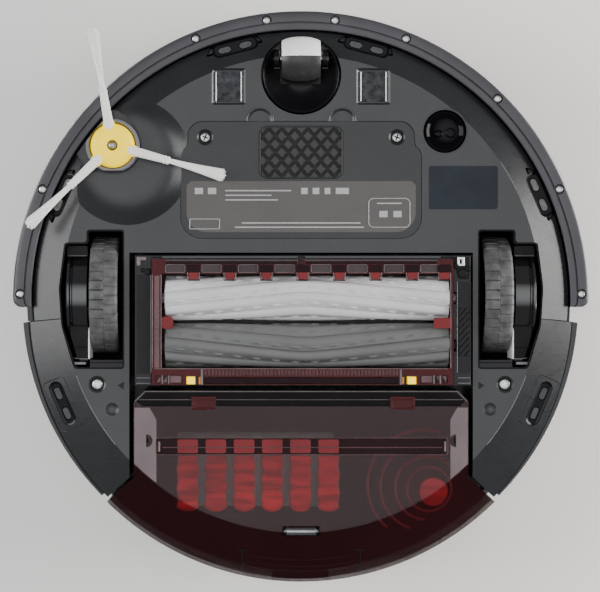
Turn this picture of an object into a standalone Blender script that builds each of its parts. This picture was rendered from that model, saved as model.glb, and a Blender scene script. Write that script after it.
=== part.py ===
"""Robot vacuum: a round floor cleaner that stands on two drive wheels and a front caster.

Run it with: blender --background --python part.py

Frame: +Z is up, the floor is z = 0, the bumper faces -Y and the dust bin faces +Y. The origin is the
middle of the machine on the floor. Every length below is in millimetres, and a mesh is stored in metres.
Left and right are those of the picture seen from below with the bumper up: left is -X, right is +X.
"""

import math

import bmesh
import bpy
from mathutils import Matrix, Vector

MM = 0.001
GAP = 0.35  # between two fixed pieces that touch on the real machine

# Outline: each circle is (y of its centre, radius)
BUMPER_CIRCLE = (1.5, 175.7)
BUMPER_LIP_TOP = (-1.0, 165.5)
BUMPER_LIP_BOTTOM = (1.5, 164.1)
BODY_FRONT = (1.5, 163.0)
CHASSIS_REAR = (6.1, 165.5)
SHELL_REAR = (6.1, 168.1)
FLAT_CIRCLE = (-1.5, 144.9)
ROOF_FRONT = (1.5, 174.2)
STEP_ANGLE = 5.3  # degrees behind the X axis, where the body steps out behind the bumper
BUMPER_END_ANGLE = 2.2

# Heights
CHASSIS_Z = 11.0
FLOOR_THICK = 3.0
SLOPE_TOP_Z = 19.0
PARTING_Z = 30.0
ROOF_Z = 88.0
WALL = 2.5

# Bay for the cleaning head and the dust bin
BAY_X = 104.2
BAY_FRONT_Y = -26.6
BAY_FLARE_Y = 109.7
BAY_TOP_Z = 72.3
FLARE = (0.7326, 0.6806)

# Drive wheels
WHEEL_X = 119.6
WHEEL_Y = -0.9
WHEEL_R = 36.0
WHEEL_W = 17.0
RIM_R = 31.0
PIVOT_Y = 38.0
PIVOT_Z = 24.0
WELL_TOP_Z = 74.3

# Caster
SWIVEL_Y = -134.7
SOCKET_R = 24.4
TURRET_R = 23.6
CASTER_Y = -144.4
CASTER_R = 13.4
CASTER_HALF_W = 11.7

# Side brush
BRUSH_X, BRUSH_Y = -114.3, -91.5
BRUSH_Z = 7.0
BRUSH_R = 13.4
BRUSH_REACH = 71.6
SLEEVE_REACH = 36.0
BRUSH_ANGLES = (15.4, 135.8, 260.4)
BOWL_X, BOWL_Y, BOWL_R = -106.5, -82.0, 39.0
BOWL_Z = 17.0

# Cleaning head
ROLLER_R = 14.2
ROLLER_Z = 16.2
FRONT_ROLLER_Y = 0.9
REAR_ROLLER_Y = 29.7
ROLLER_X0, ROLLER_X1 = -82.0, 89.1
FRAME_Z = 4.0
FRAME_TOP_Z = 8.8
FRAME_X0, FRAME_X1 = -90.4, 91.8
FRAME_Y0, FRAME_Y1 = -22.5, 53.4
TOOTH_PITCH = 21.95
TAB_X, TAB_Y = 66.7, 50.7

# Dust bin
BIN_X = 101.6
BIN_FRONT_Y = 56.9
BIN_BODY_Y = 63.7
BIN_TOP_Z = 71.5
BIN_WALL = 2.0
FAN_X, FAN_Y, FAN_R = 72.0, 112.0, 26.0
BIN_ROLLER_Y, BIN_ROLLER_Z, BIN_ROLLER_R = 142.4, 11.4, 2.6

# Battery and its cover
COVER_SCREW_X, COVER_SCREW_Y = 58.2, -96.6
PAD_Y, PAD_W, PAD_D = -87.4, 50.4, 31.4

# Sensors and contacts
CONTACT_X, CONTACT_Y, CONTACT_W, CONTACT_D = 43.9, -127.4, 15.7, 18.4
CLIFF_R = 158.5
CLIFF_ANGLES = {"front": -75.4, "side": -23.6, "rear": 23.7}
CLIFF_LENGTH, CLIFF_WIDTH = 28.8, 8.6
LENS_X, LENS_Y, LENS_R = 87.3, -100.2, 12.7
CHASSIS_SCREW_X, CHASSIS_SCREW_Y = 123.7, 53.3

# Top
HANDLE_R0, HANDLE_R1 = 101.2, 109.4
HANDLE_ANGLE = 20.0
HANDLE_Y, HANDLE_Z = 36.0, 86.3
FACE_R = 98.0
BUTTON_R = 24.0
SMALL_BUTTON_X, SMALL_BUTTON_R = 44.0, 6.5
CAMERA_Y, CAMERA_R = -70.0, 8.5
RECEIVER_Y, RECEIVER_R = -156.0, 12.0


# ---------------------------------------------------------------- outlines


def circle(x, y, radius, count=32, turn=0.0):
    """Points round a circle, starting at turn degrees."""
    angles = [math.radians(turn + 360 * i / count) for i in range(count)]
    return [(x + radius * math.cos(a), y + radius * math.sin(a)) for a in angles]


def arc(x, y, radius, start, end, count):
    """count + 1 points along an arc, angles in degrees."""
    angles = [math.radians(start + (end - start) * i / count) for i in range(count + 1)]
    return [(x + radius * math.cos(a), y + radius * math.sin(a)) for a in angles]


def rectangle(x0, x1, y0, y1):
    return [(x0, y0), (x1, y0), (x1, y1), (x0, y1)]


def rounded_rectangle(x0, x1, y0, y1, radius, count=5):
    """A rectangle whose corners are arcs."""
    corners = ((x1, y1, 0), (x0, y1, 90), (x0, y0, 180), (x1, y0, 270))
    points = []
    for x, y, start in corners:
        cx = x - radius if x == x1 else x + radius
        cy = y - radius if y == y1 else y + radius
        points += arc(cx, cy, radius, start, start + 90, count)
    return points


def turned_outline(points, degrees, x=0.0, y=0.0):
    """The outline turned about the origin and then moved to x, y."""
    c, s = math.cos(math.radians(degrees)), math.sin(math.radians(degrees))
    return [(x + px * c - py * s, y + px * s + py * c) for px, py in points]


def stadium(length, width, count=8):
    """A slot outline along X, round at both ends."""
    r, half = width / 2, (length - width) / 2
    return arc(half, 0, r, -90, 90, count) + arc(-half, 0, r, 90, 270, count)


def mirrored(points):
    """The outline reflected in X, still anticlockwise."""
    return [(-x, y) for x, y in reversed(points)]


def polar_radius(ring_circle, degrees):
    """How far a circle centred on the Y axis lies from the origin in one direction."""
    y, radius = ring_circle
    a = math.radians(degrees)
    return y * math.sin(a) + math.sqrt(radius**2 - (y * math.cos(a)) ** 2)


def shrunk(ring_circle, by):
    return (ring_circle[0], ring_circle[1] - by)


def body_angles(count=72):
    """Directions round the body, with two close pairs where it steps out behind the bumper."""
    steps = [STEP_ANGLE - 0.1, STEP_ANGLE + 0.1, 180 - STEP_ANGLE - 0.1, 180 - STEP_ANGLE + 0.1]
    return sorted([360 * i / count for i in range(count)] + steps)


def body_ring(z, front, rear):
    """One level of the body: the front circle beside the bumper and the rear circle behind it."""
    points = []
    for angle in body_angles():
        in_front = math.sin(math.radians(angle)) < math.sin(math.radians(STEP_ANGLE))
        r = polar_radius(front if in_front else rear, angle)
        a = math.radians(angle)
        points.append((r * math.cos(a), r * math.sin(a), z))
    return points


def bay_outline(grow=0.0):
    """Plan of the bay: straight sides, then a flare that runs out through the rear wall."""
    corner_y = BAY_FLARE_Y - 0.436 * grow
    far = 60.0
    far_x = BAY_X + FLARE[1] * grow + far * FLARE[0]
    far_y = BAY_FLARE_Y - FLARE[0] * grow + far * FLARE[1]
    right = [(BAY_X + grow, BAY_FRONT_Y - grow), (BAY_X + grow, corner_y), (far_x, far_y)]
    return right + [(far_x, 200.0), (-far_x, 200.0)] + [(-x, y) for x, y in reversed(right)]


def well_outline(grow=0.0):
    """Plan of the left wheel well: a slot for the tyre and a wider bay for the gearbox beside it."""
    g = grow
    return [
        (-107.3 + g, -40.6 - g),
        (-107.3 + g, 44.0 + g),
        (-137.4 - g, 44.0 + g),
        (-139.0 - g, 40.0 + g),
        (-145.6 - g, 17.6),
        (-147.1 - g, -4.9),
        (-143.7 - g, -32.8 - g),
        (-130.1 - g, -32.8 - g),
        (-130.1 - g, -40.6 - g),
    ]


def cover_outline(grow=0.0):
    """Plan of the battery cover: a wide rounded panel with a narrower shoulder towards the caster."""
    g = grow
    right = (
        arc(72.8 + g - 13, -35.3 + g - 13, 13, 90, 0, 5)
        + [(72.8 + g, -86.0), (68.5 + g, -92.0)]
        + arc(68.5 + g - 9, -106.0 - g + 9, 9, 0, -90, 4)
    )
    return [(-x, y) for x, y in right] + right[::-1]


# ---------------------------------------------------------------- solids


def clear_scene():
    for obj in list(bpy.data.objects):
        bpy.data.objects.remove(obj)


def finish_material(name, colour, roughness, metallic=0.0, alpha=1.0):
    """A Principled BSDF material, made once for each name."""
    found = bpy.data.materials.get(name)
    if found:
        return found
    made = bpy.data.materials.new(name)
    made.use_nodes = True
    shader = made.node_tree.nodes["Principled BSDF"]
    shader.inputs["Base Color"].default_value = (*colour, 1.0)
    shader.inputs["Roughness"].default_value = roughness
    shader.inputs["Metallic"].default_value = metallic
    shader.inputs["Alpha"].default_value = alpha
    return made


def graphite():
    return finish_material("graphite_plastic", (0.075, 0.078, 0.083), 0.45)


def black():
    return finish_material("black_plastic", (0.012, 0.012, 0.013), 0.32)


def bumper_grey():
    return finish_material("bumper_plastic", (0.13, 0.125, 0.14), 0.5)


def dark_window():
    return finish_material("dark_window", (0.01, 0.01, 0.012), 0.08)


def rubber():
    return finish_material("tyre_rubber", (0.11, 0.11, 0.11), 0.8)


def steel():
    return finish_material("steel", (0.6, 0.6, 0.58), 0.25, metallic=1.0)


def red_clear():
    return finish_material("red_translucent", (0.16, 0.008, 0.014), 0.12, alpha=0.7)


def yellow():
    return finish_material("yellow_plastic", (0.85, 0.62, 0.05), 0.4)


def white():
    return finish_material("white_plastic", (0.8, 0.79, 0.74), 0.45)


def filter_paper():
    return finish_material("filter_paper", (0.8, 0.79, 0.74), 0.9)


def board_green():
    return finish_material("circuit_board", (0.02, 0.12, 0.05), 0.5)


def battery_blue():
    return finish_material("battery_wrap", (0.02, 0.05, 0.16), 0.4)


def loft(rings, joined=False):
    """A closed mesh through rings of the same number of points, capped unless its ends are joined."""
    mesh = bmesh.new()
    loops = [[mesh.verts.new(Vector(p) * MM) for p in ring] for ring in rings]
    pairs = list(zip(loops, loops[1:]))
    if joined:
        pairs.append((loops[-1], loops[0]))
    else:
        mesh.faces.new(loops[0])
        mesh.faces.new(loops[-1])
    for a, b in pairs:
        for i in range(len(a)):
            j = (i + 1) % len(a)
            mesh.faces.new((a[i], a[j], b[j], b[i]))
    bmesh.ops.recalc_face_normals(mesh, faces=mesh.faces)
    return mesh


def prism(outline, z0, z1):
    return loft([[(x, y, z) for x, y in outline] for z in (z0, z1)])


def block(x0, x1, y0, y1, z0, z1):
    return prism(rectangle(x0, x1, y0, y1), z0, z1)


def turned_z(profile, x, y, count=32, hollow=False):
    """A solid turned about a vertical axis, from (radius, z) points."""
    rings = [[(px, py, z) for px, py in circle(x, y, r, count)] for r, z in profile]
    return loft(rings, joined=hollow)


def turned_x(profile, y, z, count=32, hollow=False):
    """A solid turned about an axis along X, from (radius, x) points. A point lies at the very bottom."""
    rings = [[(x, y + py, z + pz) for py, pz in circle(0, 0, r, count, -90)] for r, x in profile]
    return loft(rings, joined=hollow)


def coil(start, along, across, radius, wire, length, turns, sides=4, steps=8):
    """A spring of round wire. along and across are unit vectors; the coil starts at start."""
    axis, u = Vector(along), Vector(across)
    v = axis.cross(u)
    rings = []
    count = turns * steps
    for i in range(count + 1):
        a = 2 * math.pi * i / steps
        outward = u * math.cos(a) + v * math.sin(a)
        centre = Vector(start) + axis * (length * i / count) + outward * radius
        ring = []
        for k in range(sides):
            b = 2 * math.pi * k / sides
            ring.append(centre + outward * (wire * math.cos(b)) + axis * (wire * math.sin(b)))
        rings.append(ring)
    return loft(rings)


def add_object(name, mesh, material, pivot=None):
    """A scene object from a bmesh, riding on pivot if it belongs to a moving body."""
    data = bpy.data.meshes.new(name)
    mesh.to_mesh(data)
    mesh.free()
    data.materials.append(material)
    data.shade_smooth()
    data.set_sharp_from_angle(angle=math.radians(35))
    obj = bpy.data.objects.new(name, data)
    bpy.context.scene.collection.objects.link(obj)
    if pivot:
        obj.parent = pivot
        obj.matrix_parent_inverse = pivot.matrix_world.inverted()
    return obj


def add_pivot(name, x, y, z):
    """An empty on a joint's axis, which carries the pieces of one moving body."""
    empty = bpy.data.objects.new(name, None)
    empty.location = Vector((x, y, z)) * MM
    bpy.context.scene.collection.objects.link(empty)
    bpy.context.view_layer.update()
    return empty


def combine(obj, tools, operation):
    """Adds one Boolean for each tool mesh. The tools stay as hidden helpers."""
    for tool in tools:
        helper = add_object(f"tool_{obj.name}_{len(obj.modifiers)}", tool, obj.data.materials[0])
        helper.hide_render = True
        helper.display_type = "WIRE"
        modifier = obj.modifiers.new(operation.lower(), "BOOLEAN")
        modifier.operation = operation
        modifier.solver = "EXACT"
        modifier.object = helper


def cut(obj, tools):
    combine(obj, tools, "DIFFERENCE")


def join(obj, tools):
    combine(obj, tools, "UNION")


# ---------------------------------------------------------------- chassis and shell


def cliff_windows():
    """Name, x, y and heading of the six drop sensors round the sloping rim."""
    found = []
    for place, angle in CLIFF_ANGLES.items():
        for side, heading in (("right", angle), ("left", 180 - angle)):
            a = math.radians(heading)
            x = CLIFF_R * math.cos(a)
            y = BODY_FRONT[0] + CLIFF_R * math.sin(a)
            found.append((f"cliff_window_{place}_{side}", x, y, heading + 90))
    return found


def inner_limit():
    """The room inside the shell's wall, which the chassis's own walls stay within."""
    rings = [body_ring(z, shrunk(BODY_FRONT, 3.0), shrunk(CHASSIS_REAR, 3.0)) for z in (12.5, 80.0)]
    return loft(rings)


def build_chassis():
    """The lower moulding: a shallow tray with wheel wells, battery box, caster socket and the rear bay."""
    inside_front, inside_rear = shrunk(BODY_FRONT, WALL), shrunk(CHASSIS_REAR, WALL)
    inside_flat = shrunk(FLAT_CIRCLE, WALL)
    tray = loft(
        [
            body_ring(CHASSIS_Z, FLAT_CIRCLE, FLAT_CIRCLE),
            body_ring(SLOPE_TOP_Z, BODY_FRONT, CHASSIS_REAR),
            body_ring(PARTING_Z, BODY_FRONT, CHASSIS_REAR),
            body_ring(PARTING_Z, inside_front, inside_rear),
            body_ring(SLOPE_TOP_Z + 3, inside_front, inside_rear),
            body_ring(CHASSIS_Z + FLOOR_THICK, inside_flat, inside_flat),
        ]
    )
    inner_z = CHASSIS_Z + FLOOR_THICK - 0.6
    housings = add_object("tool_housings", prism(bay_outline(WALL), inner_z, BAY_TOP_Z + WALL), graphite())
    join(
        housings,
        [
            prism(well_outline(2.2), inner_z - 0.1, WELL_TOP_Z + 2.2),
            prism(mirrored(well_outline(2.2)), inner_z - 0.2, WELL_TOP_Z + 2.3),
            block(-70.0, 70.0, -92.5, -28.5, inner_z, 53.5),
            block(-77.0, 77.0, -110.0, -28.0, inner_z - 0.3, 17.0),
            turned_z([(27.2, inner_z + 0.1), (27.2, 31.5)], 0, SWIVEL_Y, 40),
            turned_z([(42.0, inner_z + 0.2), (42.0, 25.0)], BOWL_X, BOWL_Y, 40),
        ],
    )
    combine(housings, [inner_limit()], "INTERSECT")
    housings.hide_render = True
    chassis = add_object("bottom_chassis", tray, graphite())
    modifier = chassis.modifiers.new("union", "BOOLEAN")
    modifier.operation = "UNION"
    modifier.solver = "EXACT"
    modifier.object = housings
    low = CHASSIS_Z - 15
    bowl = [(BOWL_R + 1.5, CHASSIS_Z - 0.8), (BOWL_R, CHASSIS_Z), (30.0, 14.6), (20.0, BOWL_Z)]
    cutters = [
        prism(bay_outline(), low, BAY_TOP_Z),
        prism(well_outline(), low, WELL_TOP_Z),
        prism(mirrored(well_outline()), low, WELL_TOP_Z),
        block(-67.5, 67.5, -90.0, -37.5, low, 51.0),
        prism(cover_outline(GAP), low, 13.6),
        turned_z([(SOCKET_R, low), (SOCKET_R, 28.8)], 0, SWIVEL_Y, 40),
        turned_z([(4.4, 28.0), (4.4, 34.0)], 0, SWIVEL_Y, 16),
        turned_z(bowl, BOWL_X, BOWL_Y, 40),
        turned_z([(16.8, CHASSIS_Z), (16.8, 21.5)], BRUSH_X, BRUSH_Y, 32),
        turned_z([(3.8, 20.0), (3.8, 27.0)], BRUSH_X, BRUSH_Y, 16),
        turned_z([(LENS_R + 0.4, low), (LENS_R + 0.4, 20.0)], LENS_X, LENS_Y, 32),
    ]
    for side in (-1, 1):
        x, y = side * CONTACT_X, CONTACT_Y
        half_w, half_d = CONTACT_W / 2 + 0.5, CONTACT_D / 2 + 0.5
        cutters.append(block(x - half_w, x + half_w, y - half_d, y + half_d, low, 13.0))
        screw_x = side * CHASSIS_SCREW_X
        cutters.append(turned_z([(4.4, low), (4.4, 13.0)], screw_x, CHASSIS_SCREW_Y, 20))
        cutters.append(turned_z([(8.6, low), (8.6, 12.8)], side * 25.1, -106.0, 20))
        cutters.append(turned_z([(1.9, 10.0), (1.9, 18.8)], side * COVER_SCREW_X, COVER_SCREW_Y, 12))
        cutters.append(turned_x([(2.15, side * 136.0), (2.15, side * 146.0)], PIVOT_Y, PIVOT_Z, 12))
    for _, x, y, heading in cliff_windows():
        outline = turned_outline(stadium(CLIFF_LENGTH, CLIFF_WIDTH, 6), heading, x, y)
        cutters.append(prism(outline, low, 28.0))
    cut(chassis, cutters)


def build_top_shell():
    """The upper moulding: side wall and roof, with a sunk ring for the handle and a seat for the faceplate."""
    wall_front, wall_rear = shrunk(BODY_FRONT, WALL), shrunk(SHELL_REAR, WALL)
    low = PARTING_Z + 0.5
    shell = add_object(
        "top_shell",
        loft(
            [
                body_ring(ROOF_Z - 3.5, wall_front, wall_rear),
                body_ring(low, wall_front, wall_rear),
                body_ring(low, BODY_FRONT, SHELL_REAR),
                body_ring(82.8, BODY_FRONT, SHELL_REAR),
                body_ring(83.2, ROOF_FRONT, shrunk(SHELL_REAR, -0.05)),
                body_ring(86.0, ROOF_FRONT, shrunk(SHELL_REAR, -0.05)),
                body_ring(ROOF_Z, shrunk(ROOF_FRONT, 3.0), shrunk(SHELL_REAR, 3.0)),
            ]
        ),
        graphite(),
    )
    ring = [(92.0, 81.0), (122.0, 81.0), (122.0, ROOF_Z - 1.5), (92.0, ROOF_Z - 1.5)]
    join(shell, [turned_z(ring, 0, 0, 48, hollow=True)])
    groove = arc(0, 0, HANDLE_R1 + 0.9, 14, 166, 24) + arc(0, 0, HANDLE_R0 - 1.7, 166, 14, 24)
    cut(
        shell,
        [
            prism(bay_outline(2.9), low - 5, BAY_TOP_Z - 0.2),
            turned_z([(FACE_R + 0.4, 86.8), (FACE_R + 0.4, 95.0)], 0, 0, 56),
            turned_z([(BUTTON_R + 2, 86.0), (BUTTON_R + 2, 95.0)], 0, 0, 28),
            turned_z([(SMALL_BUTTON_R + 1.5, 86.0), (SMALL_BUTTON_R + 1.5, 95.0)], SMALL_BUTTON_X, 0, 20),
            turned_z([(SMALL_BUTTON_R + 1.5, 86.0), (SMALL_BUTTON_R + 1.5, 95.0)], -SMALL_BUTTON_X, 0, 20),
            prism(groove, 83.2, 95.0),
            prism(rounded_rectangle(-24.0, 24.0, 103.0, 118.5, 5.0), 83.0, 95.0),
            turned_x([(1.7, 96.0), (1.7, 110.0)], HANDLE_Y, HANDLE_Z, 12),
            turned_x([(1.7, -110.0), (1.7, -96.0)], HANDLE_Y, HANDLE_Z, 12),
        ],
    )


def build_faceplate():
    """The round cover in the middle of the roof, with holes for three buttons and the camera."""
    plate = add_object("faceplate", turned_z([(FACE_R, 87.1), (FACE_R, 89.6), (FACE_R - 1.2, 90.2)], 0, 0, 56), black())
    holes = [
        turned_z([(BUTTON_R + 0.5, 80.0), (BUTTON_R + 0.5, 95.0)], 0, 0, 32),
        turned_z([(CAMERA_R + 0.4, 80.0), (CAMERA_R + 0.4, 95.0)], 0, CAMERA_Y, 24),
    ]
    for side in (-1, 1):
        r = SMALL_BUTTON_R + 0.4
        holes.append(turned_z([(r, 80.0), (r, 95.0)], side * SMALL_BUTTON_X, 0, 20))
    cut(plate, holes)
    camera = [(CAMERA_R, 87.1), (CAMERA_R, 90.2), (CAMERA_R - 2, 91.0), (3.0, 91.2)]
    add_object("camera_lens", turned_z(camera, 0, CAMERA_Y, 24), dark_window())
    puck = [(RECEIVER_R, ROOF_Z + GAP), (RECEIVER_R, 90.2), (RECEIVER_R - 1.6, 91.4)]
    add_object("ir_receiver", turned_z(puck, 0, RECEIVER_Y, 32), dark_window())


def build_battery():
    """The battery pack, its screwed cover and the ribbed rubber pad on the cover."""
    cover = add_object("battery_cover", prism(cover_outline(), CHASSIS_Z, 13.2), graphite())
    half_w, half_d = PAD_W / 2 + 0.4, PAD_D / 2 + 0.4
    holes = [prism(rounded_rectangle(-half_w, half_w, PAD_Y - half_d, PAD_Y + half_d, 5.4), 5.0, 12.0)]
    for side in (-1, 1):
        x = side * COVER_SCREW_X
        holes.append(turned_z([(4.2, 5.0), (4.2, 12.4)], x, COVER_SCREW_Y, 20))
        holes.append(turned_z([(1.9, 5.0), (1.9, 15.0)], x, COVER_SCREW_Y, 12))
    cut(cover, holes)
    pad = rounded_rectangle(-PAD_W / 2, PAD_W / 2, PAD_Y - PAD_D / 2, PAD_Y + PAD_D / 2, 5.0)
    add_object("grip_pad", prism(pad, 10.5, 11.7), rubber())
    add_object("battery_pack", block(-66.5, 66.5, -89.0, -38.5, 13.7, 50.2), battery_blue())
    for name, side in (("left", -1), ("right", 1)):
        screw = [(3.2, 11.4), (3.2, 12.1), (1.5, 12.1), (1.5, 18.5)]
        made = turned_z(screw, side * COVER_SCREW_X, COVER_SCREW_Y, 16)
        add_object(f"cover_screw_{name}", made, steel())


def build_electronics():
    """Main board, side brush gearmotor, sensor windows and charging contacts."""
    add_object("main_circuit_board", block(-70.0, 70.0, -91.0, -31.0, 53.9, 55.5), board_green())
    motor = add_object("side_brush_motor", block(-112.0, -82.0, -104.0, -70.0, 25.4, 50.0), black())
    shaft = turned_z([(3.2, 19.5), (3.2, 26.0)], BRUSH_X, BRUSH_Y, 12)
    join(motor, [turned_z([(12.0, 25.5), (12.0, 40.0)], BRUSH_X, BRUSH_Y, 20), shaft])
    lens = [(LENS_R, 12.0), (LENS_R, 18.0)]
    add_object("floor_sensor_lens", turned_z([(8.0, 11.3)] + lens, LENS_X, LENS_Y, 32), dark_window())
    for name, side in (("left", -1), ("right", 1)):
        x = side * CONTACT_X
        half_w, half_d = CONTACT_W / 2, CONTACT_D / 2
        plate = block(x - half_w, x + half_w, CONTACT_Y - half_d, CONTACT_Y + half_d, 11.2, 12.6)
        add_object(f"charge_contact_{name}", plate, steel())
    for name, x, y, heading in cliff_windows():
        outline = stadium(CLIFF_LENGTH - 0.7, CLIFF_WIDTH - 0.7, 6)
        add_object(name, prism(turned_outline(outline, heading, x, y), 19.2, 22.5), dark_window())


# ---------------------------------------------------------------- moving pieces


def bumper_section(points, start, end, count):
    """A wall swept round the front. points are (circle, z) pairs in order round the section."""
    rings = []
    for i in range(count + 1):
        angle = start + (end - start) * i / count
        a = math.radians(angle)
        ring = []
        for ring_circle, z in points:
            r = polar_radius(ring_circle, angle)
            ring.append((r * math.cos(a), r * math.sin(a), z))
        rings.append(ring)
    return loft(rings)


def build_bumper():
    """The sprung front bumper, its dark sensor window and the two return springs."""
    pivot = add_pivot("bumper_joint", 0, BUMPER_CIRCLE[0] - BUMPER_CIRCLE[1], 48.0)
    outer, top, bottom = BUMPER_CIRCLE, BUMPER_LIP_TOP, BUMPER_LIP_BOTTOM
    section = [
        (shrunk(outer, 1.6), 15.0),
        (outer, 17.0),
        (outer, 50.0),
        (shrunk(outer, 1.3), 50.0),
        (shrunk(outer, 1.3), 66.0),
        (outer, 66.0),
        (outer, 79.5),
        (shrunk(outer, 2.5), 82.0),
        (top, 82.0),
        (top, 79.5),
        (shrunk(outer, 4.0), 79.5),
        (shrunk(outer, 4.0), 17.6),
        (bottom, 17.6),
        (bottom, 15.0),
    ]
    end = BUMPER_END_ANGLE
    add_object("bumper", bumper_section(section, -180 - end, end, 42), bumper_grey(), pivot)
    strip = [
        (shrunk(outer, 1.0), 50.3),
        (shrunk(outer, 0.1), 50.3),
        (shrunk(outer, 0.1), 65.7),
        (shrunk(outer, 1.0), 65.7),
    ]
    add_object("bumper_window", bumper_section(strip, -165, -15, 34), dark_window(), pivot)
    spring_x = 60.0
    wall_y = BODY_FRONT[0] - math.sqrt(BODY_FRONT[1] ** 2 - spring_x**2)
    for name, x in (("left", -spring_x), ("right", spring_x)):
        made = coil((x, wall_y - 0.7 - 1.6, 42.0), (0, -1, 0), (1, 0, 0), 3.5, 0.6, 4.4, 3)
        add_object(f"bumper_spring_{name}", made, steel())


def build_side_brush():
    """The three-armed side brush: hub, three arms with bristles, and its screw."""
    pivot = add_pivot("side_brush_joint", BRUSH_X, BRUSH_Y, BRUSH_Z)
    profile = [(9.0, 6.6), (13.2, 8.4), (BRUSH_R, 12.0), (15.6, 12.2), (15.6, 14.0), (7.0, 15.0), (7.0, 20.8)]
    hub = add_object("brush_hub", turned_z(profile, BRUSH_X, BRUSH_Y, 32), yellow(), pivot)
    tools = [
        turned_z([(3.4, 0.0), (3.4, 8.2)], BRUSH_X, BRUSH_Y, 16),
        turned_z([(1.9, 0.0), (1.9, 17.0)], BRUSH_X, BRUSH_Y, 12),
        turned_z([(3.6, 18.5), (3.6, 25.0)], BRUSH_X, BRUSH_Y, 12),
    ]
    for angle in BRUSH_ANGLES:
        tools.append(arm_slot(angle))
    cut(hub, tools)
    for i, angle in enumerate(BRUSH_ANGLES):
        add_object(f"brush_arm_{i + 1}", brush_arm(angle), white(), pivot)
    screw = [(3.0, 6.9), (3.0, 7.8), (1.5, 7.8), (1.5, 16.0)]
    add_object("brush_screw", turned_z(screw, BRUSH_X, BRUSH_Y, 16), steel(), pivot)


def radial_bar(angle, stations):
    """A bar that runs out from the brush axis: stations are (distance, half width, low z, high z)."""
    rings = []
    for distance, half, low, high in stations:
        section = turned_outline([(distance, -half), (distance, half)], angle, BRUSH_X, BRUSH_Y)
        (x0, y0), (x1, y1) = section
        rings.append([(x0, y0, low), (x1, y1, low), (x1, y1, high), (x0, y0, high)])
    return loft(rings)


def arm_slot(angle):
    """The slot in the hub that an arm is pressed into."""
    return radial_bar(angle, [(6.0, 3.5, 5.0, 10.8), (20.0, 3.5, 2.0, 10.8)])


def brush_arm(angle):
    """A rubber sleeve from the hub, and the flared bundle of bristles beyond it."""
    return radial_bar(
        angle,
        [
            (6.4, 3.1, 6.8, 10.4),
            (14.0, 3.0, 6.2, 10.2),
            (SLEEVE_REACH, 2.3, 4.4, 8.0),
            (SLEEVE_REACH + 0.5, 1.8, 4.8, 7.6),
            (55.0, 2.4, 3.0, 5.4),
            (BRUSH_REACH, 3.3, 1.6, 3.6),
        ],
    )


def build_caster():
    """The front caster: a turret that swivels in its socket, and a barrel wheel on an axle."""
    swivel = add_pivot("caster_swivel_joint", 0, SWIVEL_Y, CHASSIS_Z)
    roll = add_pivot("caster_roll_joint", 0, CASTER_Y, CASTER_R)
    profile = [(TURRET_R - 0.8, 11.2), (TURRET_R, 12.0), (TURRET_R, 28.3), (4.0, 28.3), (4.0, 35.0)]
    turret = add_object("caster_turret", turned_z(profile, 0, SWIVEL_Y, 40), black(), swivel)
    ears = [turned_x([(4.6, x), (4.6, x + 3.6)], CASTER_Y, CASTER_R, 20) for x in (12.7, -16.3)]
    join(turret, ears)
    slot_half = CASTER_HALF_W + 0.9
    cut(
        turret,
        [
            block(-slot_half, slot_half, CASTER_Y - 40, CASTER_Y + CASTER_R + 1.2, 0.0, 27.3),
            turned_x([(1.9, -16.9), (1.9, 16.9)], CASTER_Y, CASTER_R, 12),
        ],
    )
    axle = turned_x([(1.5, -16.0), (1.5, 16.0)], CASTER_Y, CASTER_R, 12)
    add_object("caster_axle", axle, steel(), swivel)
    barrel = [(CASTER_R - 2.6 * t * t, t * CASTER_HALF_W) for t in (-1, -0.6, 0, 0.6, 1)]
    bore = [(1.9, CASTER_HALF_W), (1.9, -CASTER_HALF_W)]
    wheel = turned_x(barrel + bore, CASTER_Y, CASTER_R, 32, hollow=True)
    add_object("caster_wheel", wheel, white(), roll)


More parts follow.
